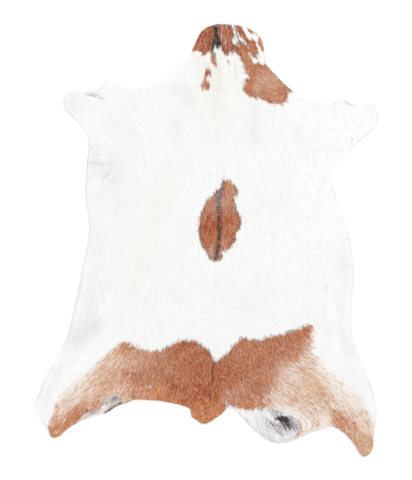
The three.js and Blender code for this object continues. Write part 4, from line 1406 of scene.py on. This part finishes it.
def loose_hairs(rng):
    """Single light and dark hairs over the brown."""
    x, y = jittered(0.0025, rng)
    px, py = on_photo(x, y)
    inside, edge, gradual, _, _ = patches_at(px, py)
    streaky = 0.06 * np.exp(-(((px - 264) ** 2 + (py - 82) ** 2) / 14**2)) + 0.04 * np.exp(-((py - 192) / 12) ** 2)
    share = np.where(py < 300, 0.97 - streaky, blended(px, py, BROWN_SHARE, "share"))
    spread = 4 * share * (1 - share)
    there = (0.25 + 0.75 * spread) * np.clip((inside - 0.05) / 0.6, 0, 1)
    keep = ((edge > 2.5) | (gradual > 2)) & (rng.random(len(x)) < there)
    for rows in WHITES:
        keep &= patch_depth(px, py, rows)[0] < 1
    for rows, _, _ in LINES:
        keep &= line_share(px, py, rows) < 0.05
    for k in range(len(MARKS["x"])):
        keep &= ellipse(px, py, MARKS, k) < 0.25
    x, y, px, py, share, spread = (v[keep] for v in (x, y, px, py, share, spread))
    n = len(x)
    tone = blended(px, py, BROWN_TONES, "tone")
    light = rng.random(n) < 0.25 + 0.6 * (1 - share)
    cream = TONE["cream"] * 0.3 + TONE["pale"] * 0.7
    how = np.clip(0.2 + 1.6 * (1 - share), 0, 1)[:, None] * rng.uniform(0.7, 1.0, (n, 1))
    colour = np.where(light[:, None], tone * (1 - how) + cream * how, tone ** (1.12 - 0.1 * spread[:, None]))
    dx, dy = turned(*heading(px, py), rng.normal(0, 0.07, n))
    long = rng.uniform(0.007, 0.012, n) * (1 + 0.3 * spread) * np.where(py < 300, 0.75, 1.0)
    return lay(x, y, dx, dy, long, rng.uniform(0.0006, 0.0010, n), colour, colour, rng, 0.02, 0.09)


def make_hair(material):
    rng = np.random.default_rng(SEED + 1)
    x, y = jittered(HAIR_STEP, rng)
    cut = trimmed(*on_photo(x, y))
    keep = inset_at(x, y) > cut
    x, y, cut = x[keep], y[keep], cut[keep]
    out = rng.uniform(0.0, 0.0010, len(x)) - cut
    main = grow(x, y, rng, 1.0, HAIR_WIDTH, 0.42, out)
    # White blades are broader, so fewer of them cover as well
    spare = (main[1][:, 2, 3] < 0.02) & (inset_at(x, y) > 0.004) & (rng.random(len(x)) < 0.13)
    main = main[0][~spare], main[1][~spare]

    # A finer row close to the cut edge, so that the skin's edge is covered
    ring = even(RIM, 0.0007)
    nxt = np.roll(ring, -1, 0) - np.roll(ring, 1, 0)
    nxt /= np.hypot(nxt[:, 0], nxt[:, 1])[:, None]
    cut = trimmed(*on_photo(ring[:, 0], ring[:, 1]))
    deep = rng.uniform(0.0009, 0.0042, len(ring)) + cut
    ex, ey = ring[:, 0] - nxt[:, 1] * deep, ring[:, 1] + nxt[:, 0] * deep
    out = rng.uniform(0.0, 0.0009, len(ex)) - cut
    edge = grow(ex, ey, rng, 0.75, HAIR_WIDTH * 0.7, 0.35, out)

    parts = (main, edge, border_shade_hairs(rng), loose_hairs(rng), udder_hairs(rng), fan_hairs(rng), line_hairs(rng))
    co = np.concatenate([part[0] for part in parts])
    rgba = np.concatenate([part[1] for part in parts])
    order = np.argsort(-co[:, 0, 1], kind="stable")
    made = []
    names = ("hair_neck", "hair_shoulders", "hair_back", "hair_loins", "hair_rump")
    for name, part in zip(names, np.array_split(order, len(names))):
        made.append(blades_mesh(name, co[part], rgba[part], material))
    return made


skin = make_skin(skin_material())
hair = make_hair(hair_material())
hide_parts("hide")

# ---- floor, light and camera ---------------------------------------------------------------------
floor_mesh = bpy.data.meshes.new("floor")
floor_mesh.from_pydata([(-6, -6, 0), (6, -6, 0), (6, 6, 0), (-6, 6, 0)], [], [(0, 1, 2, 3)])
floor_mesh.materials.append(floor_material())
floor = bpy.data.objects.new("floor", floor_mesh)
floor.location.z = -0.0002
bpy.context.scene.collection.objects.link(floor)


def area_light(name, place, size, watts):
    data = bpy.data.lights.new(name, "AREA")
    data.shape = "SQUARE"
    data.size = size
    data.energy = watts
    ob = bpy.data.objects.new(name, data)
    ob.location = place
    aim = -np.array(place)
    ob.rotation_euler = (
        math.atan2(math.hypot(aim[0], aim[1]), -aim[2]),
        0,
        math.atan2(aim[0], -aim[1]) + math.pi,
    )
    bpy.context.scene.collection.objects.link(ob)
    return ob


area_light("key", (1.6, 1.2, 2.6), 2.2, 22)
area_light("fill", (-1.8, -0.8, 2.6), 2.6, 8)

world = bpy.data.worlds.new("studio")
world.use_nodes = True
world.node_tree.nodes["Background"].inputs["Color"].default_value = (1, 1, 1, 1)
world.node_tree.nodes["Background"].inputs["Strength"].default_value = 1.04
bpy.context.scene.world = world
bpy.context.scene.view_settings.view_transform = "Standard"

AWAY = 2.8
cam_data = bpy.data.cameras.new("camera")
cam_data.sensor_fit = "AUTO"
cam_data.sensor_width = 36
cam_data.lens = AWAY * 36 / (480 * PIXEL)
camera = bpy.data.objects.new("camera", cam_data)
eye = on_hide(206.0, 240.0)
camera.location = (eye[0], eye[1], 0.004 + AWAY)
bpy.context.scene.collection.objects.link(camera)
bpy.context.scene.camera = camera
